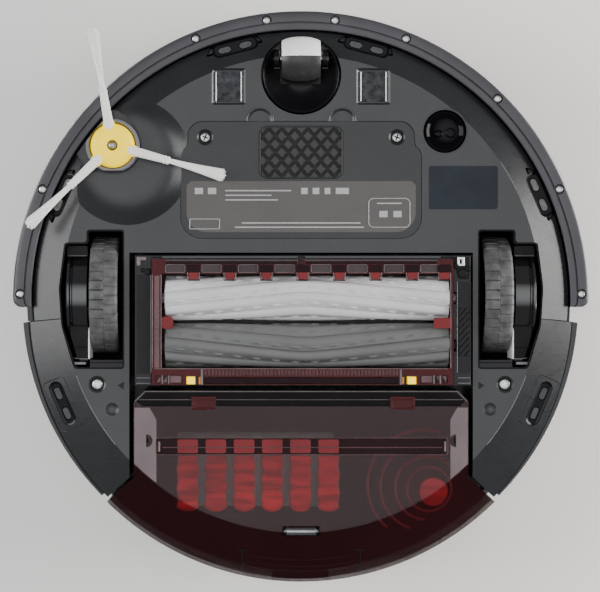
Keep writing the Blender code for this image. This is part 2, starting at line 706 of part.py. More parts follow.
def build_drive(name, side):
    """One drive unit: swing arm with gearbox, motor, wheel, tyre and suspension spring."""
    arm_pivot = add_pivot(f"{name}_suspension_joint", side * WHEEL_X, PIVOT_Y, PIVOT_Z)
    wheel_pivot = add_pivot(f"{name}_wheel_joint", side * WHEEL_X, WHEEL_Y, WHEEL_R)
    x0 = WHEEL_X - WHEEL_W / 2
    x1 = WHEEL_X + WHEEL_W / 2
    inner, outer = x1 + 2.0, x1 + 12.2
    drum = [(25.0, inner), (28.5, inner + 1.5), (28.5, outer - 2.0), (26.0, outer)]
    arm = turned_x([(r, side * x) for r, x in drum], WHEEL_Y, WHEEL_R, 28)
    housing = add_object(f"wheel_arm_{name}", arm, black(), arm_pivot)
    near, far = sorted((side * (inner + 0.2), side * (inner + 5.6)))
    stub_near, stub_far = sorted((side * (x0 + 0.4), side * (inner + 3)))
    pin_near, pin_far = sorted((side * (x1 + 0.6), side * 141.0))
    join(
        housing,
        [
            block(near, far, 20.0, PIVOT_Y, PIVOT_Z - 4.4, PIVOT_Z + 14.0),
            block(near + 0.1, far - 0.1, 34.0, PIVOT_Y + 0.5, PIVOT_Z - 2.0, 72.0),
            turned_x([(4.5, near + 0.1), (4.5, far - 0.1)], PIVOT_Y, PIVOT_Z, 20),
            turned_x([(1.8, pin_near), (1.8, pin_far)], PIVOT_Y, PIVOT_Z, 12),
            turned_x([(3.0, stub_near), (3.0, stub_far)], WHEEL_Y, WHEEL_R, 16),
        ],
    )
    motor = [(8.5, side * (x1 + 1.5)), (8.5, side * (x0 + 5.0))]
    add_object(f"wheel_motor_{name}", turned_x(motor, WHEEL_Y + 10, WHEEL_R + 10, 20), steel(), arm_pivot)
    rim = [(RIM_R, x1), (RIM_R, x0), (3.4, x0), (3.4, x0 + 4.4), (7.0, x0 + 4.4), (7.0, x0 + 2.4)]
    rim += [(26.0, x0 + 2.4), (26.0, x1)]
    rim_mesh = turned_x([(r, side * x) for r, x in rim], WHEEL_Y, WHEEL_R, 28, hollow=True)
    add_object(f"wheel_{name}", rim_mesh, black(), wheel_pivot)
    tread = [(RIM_R + GAP, x0), (WHEEL_R - 1.6, x0), (WHEEL_R, x0 + 2.0)]
    tread += [(WHEEL_R, x1 - 2.0), (WHEEL_R - 1.6, x1), (RIM_R + GAP, x1)]
    tyre_mesh = turned_x([(r, side * x) for r, x in tread], WHEEL_Y, WHEEL_R, 40, hollow=True)
    add_object(f"tyre_{name}", tyre_mesh, rubber(), wheel_pivot)
    spring = coil((side * (inner + 4.5), 2.0, 70.2), (0, 1, 0), (1, 0, 0), 2.9, 0.6, 30.0, 6)
    add_object(f"suspension_spring_{name}", spring, steel())


def roller_mesh(y):
    """A flexible roller: shallow ridges that twist one way to the middle and back, on a thin shaft."""
    ridges, per_ridge, stations, twist = 8, 3, 10, 70.0
    count = ridges * per_ridge
    rings = []

    def ring(x, radius_at, turn):
        points = []
        for k in range(count):
            a = math.radians(360 * k / count + turn)
            r = radius_at(k)
            points.append((x, y + r * math.sin(a), ROLLER_Z + r * math.cos(a)))
        return points

    heights = (ROLLER_R, ROLLER_R - 1.1, ROLLER_R - 0.7)
    rings.append(ring(ROLLER_X0 - 6.0, lambda k: 3.0, twist))
    rings.append(ring(ROLLER_X0, lambda k: 3.0, twist))
    for i in range(stations + 1):
        t = i / stations
        turn = twist * abs(2 * t - 1)
        x = ROLLER_X0 + (ROLLER_X1 - ROLLER_X0) * t
        rings.append(ring(x, lambda k: heights[k % per_ridge], turn))
    rings.append(ring(ROLLER_X1, lambda k: 3.0, twist))
    rings.append(ring(ROLLER_X1 + 5.0, lambda k: 3.0, twist))
    return loft(rings)


def build_cleaning_head():
    """The floating head: deck with roller tunnel and duct, motor, rollers, hinged frame and its tabs."""
    head = add_pivot("cleaning_head_joint", 0, 15.0, 30.0)
    deck = add_object("head_deck", block(-100.5, 102.5, -24.8, 53.8, 6.8, 34.0), black(), head)
    join(deck, [block(-98.0, 100.0, 9.0, 53.4, 30.0, 50.0)])
    tools = [
        block(FRAME_X0 - 0.4, FRAME_X1 + 0.4, FRAME_Y0 - 1.3, 60.0, 0.0, FRAME_TOP_Z + 0.5),
        block(FRAME_X0 - 0.4, FRAME_X1 + 0.4, FRAME_Y0 - 1.3, FRAME_Y0 + 5.0, 0.0, FRAME_TOP_Z + 1.3),
        block(-85.0, 91.2, -17.0, 47.0, 5.0, 32.0),
        block(-70.0, 70.0, 34.0, 60.0, 28.0, 46.0),
    ]
    for y in (FRONT_ROLLER_Y, REAR_ROLLER_Y):
        tools.append(block(-89.5, -84.0, y - 3.6, y + 3.6, 5.0, ROLLER_Z + 3.7))
        tools.append(block(90.0, 95.4, y - 3.6, y + 3.6, 5.0, ROLLER_Z + 3.7))
    for side in (-1, 1):
        tools.append(block(side * TAB_X - 6, side * TAB_X + 6, 48.0, 56.0, 5.0, 13.5))
    cut(deck, tools)
    motor = [(3.0, 4.0), (3.0, 9.0), (10.5, 9.0), (10.5, 66.0), (4.0, 66.0), (4.0, 70.0)]
    add_object("head_motor", turned_x(motor, -9.5, 45.2, 24), steel(), head)
    front = add_pivot("front_roller_joint", 0, FRONT_ROLLER_Y, ROLLER_Z)
    rear = add_pivot("rear_roller_joint", 0, REAR_ROLLER_Y, ROLLER_Z)
    pale = finish_material("roller_light", (0.62, 0.6, 0.61), 0.6)
    dark = finish_material("roller_dark", (0.3, 0.31, 0.3), 0.6)
    add_object("front_roller", roller_mesh(FRONT_ROLLER_Y), pale, front)
    add_object("rear_roller", roller_mesh(REAR_ROLLER_Y), dark, rear)
    build_roller_frame()


def build_roller_frame():
    """The red frame that holds the rollers: it swings down on its front edge once both tabs are pressed."""
    pivot = add_pivot("roller_frame_joint", 0, FRAME_Y0 + 2.4, FRAME_Z + 2.4)
    body = block(FRAME_X0, FRAME_X1, FRAME_Y0, FRAME_Y1, FRAME_Z, FRAME_TOP_Z)
    frame = add_object("roller_frame", body, red_clear(), pivot)
    cut(frame, [block(-84.2, 89.8, -13.6, 43.2, 0.0, 20.0)])
    pieces = [
        block(-86.0, -77.3, 11.4, 19.2, FRAME_Z, FRAME_Z + 2.0),
        block(79.0, 91.0, 11.4, 19.2, FRAME_Z, FRAME_Z + 2.0),
    ]
    for i in range(-3, 4):
        x = i * TOOTH_PITCH
        pieces.append(block(x - 3.6, x + 3.6, -15.0, -9.1, FRAME_Z, FRAME_Z + 1.7))
    join(frame, pieces)
    holes = []
    for i in range(-4, 4):
        x = (i + 0.5) * TOOTH_PITCH
        holes.append(block(x - 6.0, x + 6.0, -19.8, -16.0, 0.0, FRAME_Z + 2.5))
    for side in (-1, 1):
        inner, outer = sorted((side * (TAB_X - 4.9), side * (TAB_X + 2.9)))
        holes.append(block(inner, outer, TAB_Y - 2.6, FRAME_Y1 + 5, 0.0, 20.0))
    cut(frame, holes)
    for name, side in (("left", -1), ("right", 1)):
        tab_pivot = add_pivot(f"tab_{name}_joint", side * TAB_X, TAB_Y, FRAME_Z)
        x = side * TAB_X
        tab = block(x - 2.5, x + 2.5, TAB_Y - 2.2, TAB_Y + 2.2, FRAME_Z - 0.4, 12.4)
        add_object(f"release_tab_{name}", tab, yellow(), tab_pivot)


def bin_form(inset):
    """Outer or inner form of the bin: straight sides, a flared round tail and a sloping rear edge."""
    x = BIN_X - inset
    corner_y = 109.7 + 0.436 * inset
    rear = (SHELL_REAR[0], SHELL_REAR[1] - inset)
    tail_x = 118.5 - 0.4 * inset
    tail_angle = math.degrees(math.acos(tail_x / rear[1]))
    tail = arc(0, rear[0], rear[1], tail_angle, 180 - tail_angle, 30)
    front_y = BIN_BODY_Y - (10.0 if inset else 0.0)
    outline = [(-x, front_y), (x, front_y), (x, corner_y)] + tail + [(-x, corner_y)]
    form = prism(outline, CHASSIS_Z + inset - 0.01, BIN_TOP_Z - inset)
    slope = [
        circle(0, FLAT_CIRCLE[0], FLAT_CIRCLE[1] - inset, 96),
        circle(0, rear[0], rear[1] + 1.0, 96),
        circle(0, rear[0], rear[1] + 1.0, 96),
    ]
    heights = (CHASSIS_Z + inset, SLOPE_TOP_Z + 1 + inset, 90.0)
    bowl = loft([[(px, py, z) for px, py in ring] for ring, z in zip(slope, heights)])
    return form, bowl


def build_bin():
    """The dust bin: red shell, front door with the mouth, filter, fan, support roller and its button."""
    pivot = add_pivot("dust_bin_joint", 0, BIN_FRONT_Y, 40.0)
    form, bowl = bin_form(0.0)
    shell = add_object("bin_shell", form, red_clear(), pivot)
    combine(shell, [bowl], "INTERSECT")
    inner_form, inner_bowl = bin_form(BIN_WALL)
    cavity = add_object("tool_bin_cavity", inner_form, red_clear())
    combine(cavity, [inner_bowl], "INTERSECT")
    cavity.hide_render = True
    modifier = shell.modifiers.new("difference", "BOOLEAN")
    modifier.operation = "DIFFERENCE"
    modifier.solver = "EXACT"
    modifier.object = cavity
    join(shell, [turned_z([(2.0, 32.0), (2.0, 70.5)], FAN_X, FAN_Y, 12)])
    rear_y = SHELL_REAR[0] + SHELL_REAR[1]
    roller_y = BIN_ROLLER_Y
    cut(
        shell,
        [
            block(-88.0, 88.0, 86.0, 96.0, 5.0, CHASSIS_Z + 0.9),
            block(-11.2, 11.2, roller_y - 3.2, roller_y + 3.2, 5.0, 17.0),
            block(-18.2, 18.2, rear_y - 8, rear_y + 5, 31.7, 46.3),
        ],
    )
    chamfer = 6.0
    plan = [(-BIN_X + chamfer, BIN_FRONT_Y), (BIN_X - chamfer, BIN_FRONT_Y)]
    plan += [(BIN_X, BIN_BODY_Y - GAP), (-BIN_X, BIN_BODY_Y - GAP)]
    door = add_object("bin_door", prism(plan, CHASSIS_Z - 0.4, BIN_TOP_Z - 0.4), black(), pivot)
    cut(door, [block(-70.0, 70.0, 50.0, 70.0, 27.0, 47.0)])
    add_object("bin_filter", filter_mesh(), filter_paper(), pivot)
    build_fan()
    roller_pivot = add_pivot("bin_roller_joint", 0, BIN_ROLLER_Y, BIN_ROLLER_Z)
    r = BIN_ROLLER_R
    profile = [(0.9, -10.4), (0.9, -9.4), (r, -9.2), (r, 9.2), (0.9, 9.4), (0.9, 10.4)]
    roller = turned_x(profile, BIN_ROLLER_Y, BIN_ROLLER_Z, 20)
    add_object("bin_roller", roller, steel(), roller_pivot)
    button_pivot = add_pivot("bin_button_joint", 0, rear_y, 39.0)
    half = math.degrees(math.asin(17.6 / SHELL_REAR[1]))
    plan = arc(0, SHELL_REAR[0], SHELL_REAR[1] - 0.1, 90 - half, 90 + half, 6)
    plan += [(-17.6, rear_y - 6.0), (17.6, rear_y - 6.0)]
    add_object("bin_release_button", prism(plan, 32.2, 45.8), bumper_grey(), button_pivot)


def filter_mesh():
    """Pleated filter: six rounded folds hanging from a flat back, run along Y."""
    x0, x1, low, high, pleats, steps = -76.6, 21.3, 44.0, 69.1, 6, 6
    section = [(x1, high), (x0, high)]
    for i in range(pleats * steps + 1):
        x = x0 + (x1 - x0) * i / (pleats * steps)
        fold = abs(math.sin(math.pi * i / steps))
        section.append((x, low + 9.0 * (1 - fold)))
    return loft([[(x, y, z) for x, z in section] for y in (86.0, 131.0)])


def build_fan():
    """The suction impeller: a disc, a hub that turns on the bin's pin, and nine swept blades."""
    pivot = add_pivot("fan_joint", FAN_X, FAN_Y, 30.0)
    disc = turned_z([(FAN_R, 24.0), (FAN_R, 26.0), (7.0, 28.0), (7.0, 46.0)], FAN_X, FAN_Y, 36)
    fan = add_object("fan_impeller", disc, bumper_grey(), pivot)
    blades = []
    count = 9
    for i in range(count):
        outline = arc(13.5, -9.0, 16.0, 40, 118, 3) + arc(13.5, -9.0, 14.6, 118, 40, 3)
        outline = turned_outline(outline, 360 * i / count, FAN_X, FAN_Y)
        blades.append(prism(outline, 25.0, 38.0))
    join(fan, blades)
    cut(fan, [turned_z([(2.4, 31.0), (2.4, 50.0)], FAN_X, FAN_Y, 12)])


def build_controls():
    """The three push buttons and the carrying handle on the roof."""
    big = add_pivot("clean_button_joint", 0, 0, 88.0)
    profile = [(BUTTON_R, 87.2), (BUTTON_R, 90.2), (BUTTON_R - 1.0, 90.8)]
    add_object("clean_button", turned_z(profile, 0, 0, 32), steel(), big)
    for name, x in (("home_button", -SMALL_BUTTON_X), ("spot_button", SMALL_BUTTON_X)):
        small = add_pivot(f"{name}_joint", x, 0, 88.0)
        profile = [(SMALL_BUTTON_R, 87.2), (SMALL_BUTTON_R, 90.3), (SMALL_BUTTON_R - 0.6, 90.7)]
        add_object(name, turned_z(profile, x, 0, 20), bumper_grey(), small)
    pivot = add_pivot("handle_joint", 0, HANDLE_Y, HANDLE_Z)
    a0, a1 = HANDLE_ANGLE + 0.6, 180 - HANDLE_ANGLE - 0.6
    outline = arc(0, 0, HANDLE_R1, a0, a1, 24) + arc(0, 0, HANDLE_R0, a1, a0, 24)
    handle = add_object("carry_handle", prism(outline, 84.4, 88.2), bumper_grey(), pivot)
    hubs = []
    for side in (-1, 1):
        x0, x1 = sorted((side * 95.6, side * 103.2))
        hubs.append(turned_x([(2.3, x0), (2.3, x1)], HANDLE_Y, HANDLE_Z, 16))
        x0, x1 = sorted((side * 102.0, side * 107.5))
        hubs.append(turned_x([(1.2, x0), (1.2, x1)], HANDLE_Y, HANDLE_Z, 10))
    join(handle, hubs)


def main():
    clear_scene()
    build_chassis()
    build_top_shell()
    build_faceplate()
    build_battery()
    build_electronics()
    build_bumper()
    build_side_brush()
    build_caster()
    build_drive("left", -1)
    build_drive("right", 1)
    build_cleaning_head()
    build_bin()
    build_controls()


main()
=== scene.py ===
"""Robot vacuum seen from below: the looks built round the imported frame.

Lengths are in millimetres here and in metres in the meshes. -Y is the bumper, +Y the dust bin, +Z up.
"""

import math
import random

import bmesh
import bpy
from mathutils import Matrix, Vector


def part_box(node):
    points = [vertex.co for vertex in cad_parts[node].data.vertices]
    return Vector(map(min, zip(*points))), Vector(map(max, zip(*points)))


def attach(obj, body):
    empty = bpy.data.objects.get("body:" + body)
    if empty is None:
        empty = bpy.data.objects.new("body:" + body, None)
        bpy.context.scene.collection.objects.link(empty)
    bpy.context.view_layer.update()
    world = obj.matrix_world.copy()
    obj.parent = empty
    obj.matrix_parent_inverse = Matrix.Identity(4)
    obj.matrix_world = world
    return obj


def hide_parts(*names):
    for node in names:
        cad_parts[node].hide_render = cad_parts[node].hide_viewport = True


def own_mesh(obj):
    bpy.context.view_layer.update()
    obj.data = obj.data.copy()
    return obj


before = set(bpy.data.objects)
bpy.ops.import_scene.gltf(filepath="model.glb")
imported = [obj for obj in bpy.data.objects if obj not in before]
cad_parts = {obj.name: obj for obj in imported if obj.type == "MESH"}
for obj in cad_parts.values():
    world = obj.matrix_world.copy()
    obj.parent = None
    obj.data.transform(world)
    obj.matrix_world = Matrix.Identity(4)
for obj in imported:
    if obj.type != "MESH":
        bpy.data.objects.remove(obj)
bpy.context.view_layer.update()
MM = 0.001

# Outline circles: (y of the centre, radius)
BUMPER_CIRCLE = (1.5, 175.7)
BUMPER_LIP_TOP = (-1.0, 165.5)
BUMPER_LIP_BOTTOM = (1.5, 164.1)
BODY_FRONT = (1.5, 163.0)
CHASSIS_REAR = (6.1, 165.5)
SHELL_REAR = (6.1, 168.1)
SHELL_RIM = (2.9, 171.2)  # only in the looks: wider at the sides than the CAD's SHELL_REAR, as in the photo
FLAT_CIRCLE = (-1.5, 144.9)
ROOF_FRONT = (1.5, 174.2)
FLAT_RIM = (0.0, FLAT_CIRCLE[0], FLAT_CIRCLE[1] + 0.15)
STEP_ANGLE = 5.3  # degrees behind the X axis, where the body steps out behind the bumper
BUMPER_END_ANGLE = 2.2
WALL = 2.5

CHASSIS_Z, SLOPE_TOP_Z, PARTING_Z, ROOF_Z = 11.0, 19.0, 30.0, 88.0
BAY_X, BAY_FRONT_Y, BAY_FLARE_Y, BAY_TOP_Z = 104.2, -26.6, 109.7, 72.3
FLARE = (0.7326, 0.6806)
WHEEL_X, WHEEL_Y, WHEEL_R, WHEEL_W, RIM_R = 119.6, -0.9, 36.0, 17.0, 31.0
PIVOT_Y, PIVOT_Z, WELL_TOP_Z = 38.0, 24.0, 74.3
SWIVEL_Y, SOCKET_R, TURRET_R = -134.7, 24.4, 23.6
CASTER_Y, CASTER_R, CASTER_HALF_W = -144.4, 13.4, 11.7
BRUSH_X, BRUSH_Y, BRUSH_R, BRUSH_REACH, SLEEVE_REACH = -114.3, -91.5, 13.4, 71.6, 36.0
BRUSH_ANGLES = (15.4, 135.8, 260.4)
BOWL_X, BOWL_Y, BOWL_R, BOWL_Z = -105.6, -82.2, 38.6, 17.2
ROLLER_R, ROLLER_Z, FRONT_ROLLER_Y, REAR_ROLLER_Y = 14.2, 16.2, 0.9, 29.7
ROLLER_X0, ROLLER_X1 = -82.0, 89.1
FRAME_Z, FRAME_TOP_Z = 4.0, 8.8
FRAME_X0, FRAME_X1, FRAME_Y0, FRAME_Y1 = -90.4, 91.8, -22.5, 53.4
TAB_X, TAB_Y = 66.7, 50.7
BIN_X, BIN_FRONT_Y, BIN_BODY_Y, BIN_TOP_Z, BIN_WALL = 101.6, 56.9, 63.7, 71.5, 2.0
FAN_X, FAN_Y, FAN_R = 72.0, 112.0, 26.0
BIN_ROLLER_Y, BIN_ROLLER_Z = 142.4, 11.4
COVER_SCREW_X, COVER_SCREW_Y, PAD_Y, PAD_W, PAD_D = 58.2, -96.6, -87.4, 50.4, 31.4
CONTACT_X, CONTACT_Y = 43.9, -127.4
CLIFF_R, CLIFF_LENGTH, CLIFF_WIDTH = 158.5, 28.8, 8.6
CLIFF_ANGLES = {"front": -75.4, "side": -23.6, "rear": 23.7}
LENS_X, LENS_Y, LENS_R = 87.3, -100.2, 12.7
CHASSIS_SCREW_X, CHASSIS_SCREW_Y = 123.7, 53.3
BUMPER_SCREW_ANGLES, BUMPER_SCREW_R = (7.0, 22.0, 44.5, 67.0, 89.0), 170.9
FINGER_NOTCH_X, FINGER_NOTCH_Y = 25.0, -106.4
FOLD_X = [-68.8 + 17.1 * i for i in range(6)]
GLOW_X, GLOW_Y = 80.5, 118.7  # where a painted glow stands for the fan seen lit through the bin
EYE_X, EYE_Y = 6.6, -0.2  # the two eyes of a drop sensor, from its middle
SIDES = (("left", -1), ("right", 1))
HANDLE_R0, HANDLE_R1, HANDLE_ANGLE, HANDLE_Y, HANDLE_Z = 101.2, 109.4, 20.0, 36.0, 86.3
FACE_R, BUTTON_R, SMALL_BUTTON_X, SMALL_BUTTON_R = 98.0, 24.0, 44.0, 6.5
CAMERA_Y, CAMERA_R, RECEIVER_Y, RECEIVER_R = -70.0, 8.5, -156.0, 12.0


# ---------------------------------------------------------------- materials


def new_material(name):
    """A material with its Principled shader and object coordinates in metres."""
    made = bpy.data.materials.new(name)
    made.use_nodes = True
    tree = made.node_tree
    shader = tree.nodes["Principled BSDF"]
    where = tree.nodes.new("ShaderNodeTexCoord").outputs["Object"]
    return made, tree, shader, where


def noise(tree, where, scale, detail=3.0, rough=0.55, stretch=None):
    if stretch:
        mapping = tree.nodes.new("ShaderNodeMapping")
        mapping.inputs["Scale"].default_value = stretch
        tree.links.new(where, mapping.inputs["Vector"])
        where = mapping.outputs["Vector"]
    node = tree.nodes.new("ShaderNodeTexNoise")
    node.inputs["Scale"].default_value = scale
    node.inputs["Detail"].default_value = detail
    node.inputs["Roughness"].default_value = rough
    tree.links.new(where, node.inputs["Vector"])
    return node.outputs["Fac"]


def spread(tree, value, low, high, start=0.3, end=0.7):
    """Maps a 0..1 pattern onto low..high, clamped."""
    node = tree.nodes.new("ShaderNodeMapRange")
    for key, number in (("From Min", start), ("From Max", end), ("To Min", low), ("To Max", high)):
        node.inputs[key].default_value = number
    tree.links.new(value, node.inputs["Value"])
    return node.outputs["Result"]


def blend_colours(tree, factor, first, second):
    """first and second are colours or sockets."""
    node = tree.nodes.new("ShaderNodeMix")
    node.data_type = "RGBA"
    tree.links.new(factor, node.inputs[0])
    for slot, colour in ((6, first), (7, second)):
        if isinstance(colour, tuple):
            node.inputs[slot].default_value = (*colour, 1.0)
        else:
            tree.links.new(colour, node.inputs[slot])
    return node.outputs[2]


def maths(tree, operation, a, b=0.0):
    node = tree.nodes.new("ShaderNodeMath")
    node.operation = operation
    for slot, value in ((0, a), (1, b)):
        if isinstance(value, (int, float)):
            node.inputs[slot].default_value = value
        else:
            tree.links.new(value, node.inputs[slot])
    return node.outputs[0]


def coordinate(tree, where, axis):
    """One coordinate of a position, in metres."""
    node = tree.nodes.new("ShaderNodeSeparateXYZ")
    tree.links.new(where, node.inputs[0])
    return node.outputs[axis]


def colour_and_glow(tree, shader, tone, strength):
    """The same pattern as base colour and as faint light of its own."""
    tree.links.new(tone, shader.inputs["Base Color"])
    tree.links.new(tone, shader.inputs["Emission Color"])
    shader.inputs["Emission Strength"].default_value = strength


def bump(tree, shader, height, strength, distance=0.0003, normal=None):
    node = tree.nodes.new("ShaderNodeBump")
    node.inputs["Strength"].default_value = strength
    node.inputs["Distance"].default_value = distance
    tree.links.new(height, node.inputs["Height"])
    if normal:
        tree.links.new(normal, node.inputs["Normal"])
    tree.links.new(node.outputs["Normal"], shader.inputs["Normal"])
    return node.outputs["Normal"]


def set_surface(shader, mirror, glow):
    """How strongly the surface mirrors, and a little light of its own as (r, g, b, strength)."""
    if mirror is not None:
        shader.inputs["Specular IOR Level"].default_value = mirror
    if glow:
        shader.inputs["Emission Color"].default_value = (*glow[:3], 1.0)
        shader.inputs["Emission Strength"].default_value = glow[3]


def moulded(
    name, colour, rough=(0.38, 0.5), grain=2600, depth=0.12, mottle=0.12, dust=0.0, coat=0.0, patch=34.0,
    mirror=None, glow=None
):
    """Moulded plastic or rubber: fine spark-eroded grain, slow tone changes, faint rub marks and dust."""
    made, tree, shader, where = new_material(name)
    slow = noise(tree, where, patch, 4.0)
    dark = tuple(c * (1 - mottle) for c in colour)
    light = tuple(min(1.0, c * (1 + mottle)) for c in colour)
    tone = blend_colours(tree, spread(tree, slow, 0.0, 1.0), dark, light)
    if dust:
        specks = spread(tree, noise(tree, where, 900.0, 6.0, 0.75), 0.0, dust, 0.56, 0.8)
        pale = tuple(0.35 * c + 0.3 for c in colour)
        tone = blend_colours(tree, specks, tone, pale)
    tree.links.new(tone, shader.inputs["Base Color"])
    rub = noise(tree, where, 110.0, 4.0, 0.6, (1.0, 1.7, 1.3))
    tree.links.new(spread(tree, rub, rough[0], rough[1]), shader.inputs["Roughness"])
    bump(tree, shader, noise(tree, where, grain, 2.0, 0.6), depth, 0.00012)
    shader.inputs["Coat Weight"].default_value = coat
    shader.inputs["Coat Roughness"].default_value = 0.12
    set_surface(shader, mirror, glow)
    return made


def metal(name, colour, rough=(0.2, 0.34), stretch=(1.0, 1.0, 14.0)):
    """Plated or brushed metal with drawn lines and small stains."""
    made, tree, shader, where = new_material(name)
    lines = noise(tree, where, 500.0, 4.0, 0.6, stretch)
    stain = noise(tree, where, 90.0, 3.0)
    tone = blend_colours(tree, spread(tree, stain, 0.0, 1.0), tuple(0.82 * c for c in colour), colour)
    tree.links.new(tone, shader.inputs["Base Color"])
    tree.links.new(spread(tree, lines, rough[0], rough[1]), shader.inputs["Roughness"])
    bump(tree, shader, lines, 0.12, 0.00005)
    shader.inputs["Metallic"].default_value = 1.0
    return made


def tinted(name, colour, alpha, rough=0.14, haze=0.1, mirror=None):
    """Tinted see-through plastic, a little hazy, with faint flow lines from moulding."""
    made, tree, shader, where = new_material(name)
    cloud = noise(tree, where, 22.0, 3.0)
    tone = blend_colours(
        tree, spread(tree, cloud, 0.0, 1.0), colour, tuple(c * (1 + haze * 4) for c in colour)
    )
    tree.links.new(tone, shader.inputs["Base Color"])
    fine = noise(tree, where, 260.0, 4.0, 0.6, (1.0, 6.0, 1.0))
    tree.links.new(spread(tree, fine, rough * 0.8, rough * 1.3), shader.inputs["Roughness"])
    tree.links.new(spread(tree, cloud, alpha, min(1.0, alpha + haze)), shader.inputs["Alpha"])
    bump(tree, shader, fine, 0.04, 0.0001)
    set_surface(shader, mirror, None)
    return made


def glowing(name, bright, dim, span, start):
    """Red filter folds with a painted glow standing for light through them from inside: soft rungs, painted
    brighter from span[0] to span[1] along +Y and where they face the view.
    """
    made, tree, shader, where = new_material(name)
    # Painted light: brighter from span[0] to span[1] along +Y.
    rise = spread(tree, coordinate(tree, where, "Y"), start, 1.0, span[0] * MM, span[1] * MM)
    wave = spread(tree, noise(tree, where, 60.0, 3.0, 0.5, (0.6, 4.0, 1.0)), 0.35, 1.0, 0.35, 0.6)
    # Painted sheen: brighter where the surface faces the view, darker at grazing angles.
    edge = tree.nodes.new("ShaderNodeLayerWeight")
    edge.inputs["Blend"].default_value = 0.5
    face = spread(tree, edge.outputs["Facing"], 1.0, 0.0, 0.0, 0.45)
    tone = blend_colours(
        tree, maths(tree, "MULTIPLY", maths(tree, "MULTIPLY", rise, wave), face), dim, bright
    )
    # Painted glow: the pattern also gives off light of its own.
    colour_and_glow(tree, shader, tone, 1.0)
    shader.inputs["Roughness"].default_value = 0.4
    return made


def painted_groove_shade(made, z0, z1, dark):
    """Paints shade into a moulding: darker towards the bottom of its grooves, from height z0 to z1."""
    tree = made.node_tree
    shader = tree.nodes["Principled BSDF"]
    where = tree.nodes.new("ShaderNodeTexCoord").outputs["Object"]
    depth = spread(tree, coordinate(tree, where, "Z"), 0.0, 1.0, z0 * MM, z1 * MM)
    face = shader.inputs["Base Color"].links[0].from_socket
    tree.links.new(blend_colours(tree, depth, face, dark), shader.inputs["Base Color"])
    return made


GRAPHITE = moulded("graphite_moulding", (0.021, 0.022, 0.024), (0.26, 0.3), dust=0.03, mirror=0.52)
HATCH = moulded("hatch_moulding", (0.018, 0.019, 0.021), (0.26, 0.3), dust=0.03, mirror=0.42)
BUMPER = moulded("bumper_moulding", (0.058, 0.056, 0.064), (0.32, 0.42), dust=0.02, mirror=0.42)
BLACK = moulded("black_moulding", (0.006, 0.006, 0.007), (0.2, 0.3), dust=0.02, mirror=0.3)
# Matt black for real black parts, also used as painted shade: dark skins, rings and plugs in wells, gaps and
# recesses.
BLACK_MATT_AND_PAINTED_SHADE = moulded("matt_black_and_painted_shade", (0.006, 0.006, 0.007), (0.4, 0.55), dust=0.02, mirror=0.2)
GLOSS = moulded("black_lens", (0.002, 0.002, 0.003), (0.05, 0.1), grain=60, depth=0.02, mirror=0.13)
TYRE = moulded(
    "tyre_rubber", (0.1, 0.1, 0.1), (0.5, 0.7), grain=900, depth=0.4, mottle=0.45, dust=0.3, patch=160.0,
    mirror=0.4
)
GEAR = moulded(
    "gear_case_black", (0.013, 0.013, 0.014), (0.08, 0.13), grain=500, depth=0.05, dust=0.03, mirror=1.0
)
EYE_GREY = moulded("sensor_eye_grey", (0.028, 0.03, 0.032), (0.15, 0.3), mottle=0.5, patch=300.0, mirror=0.5)
EYE_PALE = moulded("sensor_eye_pale", (0.17, 0.168, 0.16), (0.15, 0.3), mottle=0.45, patch=260.0, mirror=0.5)
PAD = moulded("pad_rubber", (0.034, 0.034, 0.034), (0.4, 0.55), grain=1500, depth=0.2, dust=0.06, mirror=0.32)
# Later darkened towards its groove bottoms with painted shade.
KNURL_PAINTED_SHADE = moulded(
    "pad_knurl_painted_shade", (0.034, 0.034, 0.034), (0.4, 0.55), grain=1500, depth=0.2, dust=0.06, mirror=0.36
)
LABEL = moulded(
    "label_film", (0.08, 0.073, 0.069), (0.24, 0.3), grain=700, depth=0.05, mottle=0.05, mirror=0.42
)
STICKER = moulded(
    "blank_film", (0.013, 0.017, 0.025), (0.3, 0.42), grain=420, depth=0.15, mottle=0.3, dust=0.06,
    mirror=0.22
)
PRINT = moulded("pale_print", (0.42, 0.42, 0.43), (0.4, 0.5), mottle=0.04)
# Painted glow: this yellow lights itself though it is no lamp, so the brush hub looks bright in the shade
# under the body.
YELLOW_PAINTED_GLOW = moulded(
    "yellow_moulding_painted_glow", (1.0, 0.72, 0.01), (0.16, 0.26), mottle=0.03, glow=(1.0, 0.72, 0.0, 0.8), mirror=0.2
)
# Painted glow: the release tabs light themselves, so they look bright though they sit recessed in shade.
YELLOW_TAB_PAINTED_GLOW = moulded(
    "yellow_tab_painted_glow", (1.0, 0.7, 0.01), (0.3, 0.4), mottle=0.03, glow=(1.0, 0.68, 0.0, 1.1), mirror=0.15
)
# Painted shade: a dark orange copy of the tab yellow, for the side wall of the tab's opening in shadow.
ORANGE_PAINTED_SHADE = moulded("orange_painted_shade", (0.5, 0.14, 0.01), (0.3, 0.4), mottle=0.1)
# Grey of the brush collar and keys, also used for painted highlight lines along edges and lips.
GREY_AND_PAINTED_HIGHLIGHT = moulded("hub_ring_grey_and_painted_highlight", (0.19, 0.185, 0.21), (0.3, 0.4), mirror=0.4)
# Painted glow: the ivory sleeves faintly light themselves, to look bright in the shade under the body.
IVORY_PAINTED_GLOW = moulded(
    "ivory_rubber_painted_glow", (0.97, 0.95, 0.9), (0.45, 0.6), grain=900, depth=0.15, mottle=0.03, dust=0.03,
    glow=(1.0, 0.98, 0.93, 0.12)
)
# Painted glow: the bristles faintly light themselves, to look bright in the shade under the body.
BRISTLE_PAINTED_GLOW = moulded(
    "bristle_nylon_painted_glow", (0.97, 0.96, 0.93), (0.35, 0.5), grain=500, mottle=0.04, glow=(1.0, 0.98, 0.94, 0.14)
)
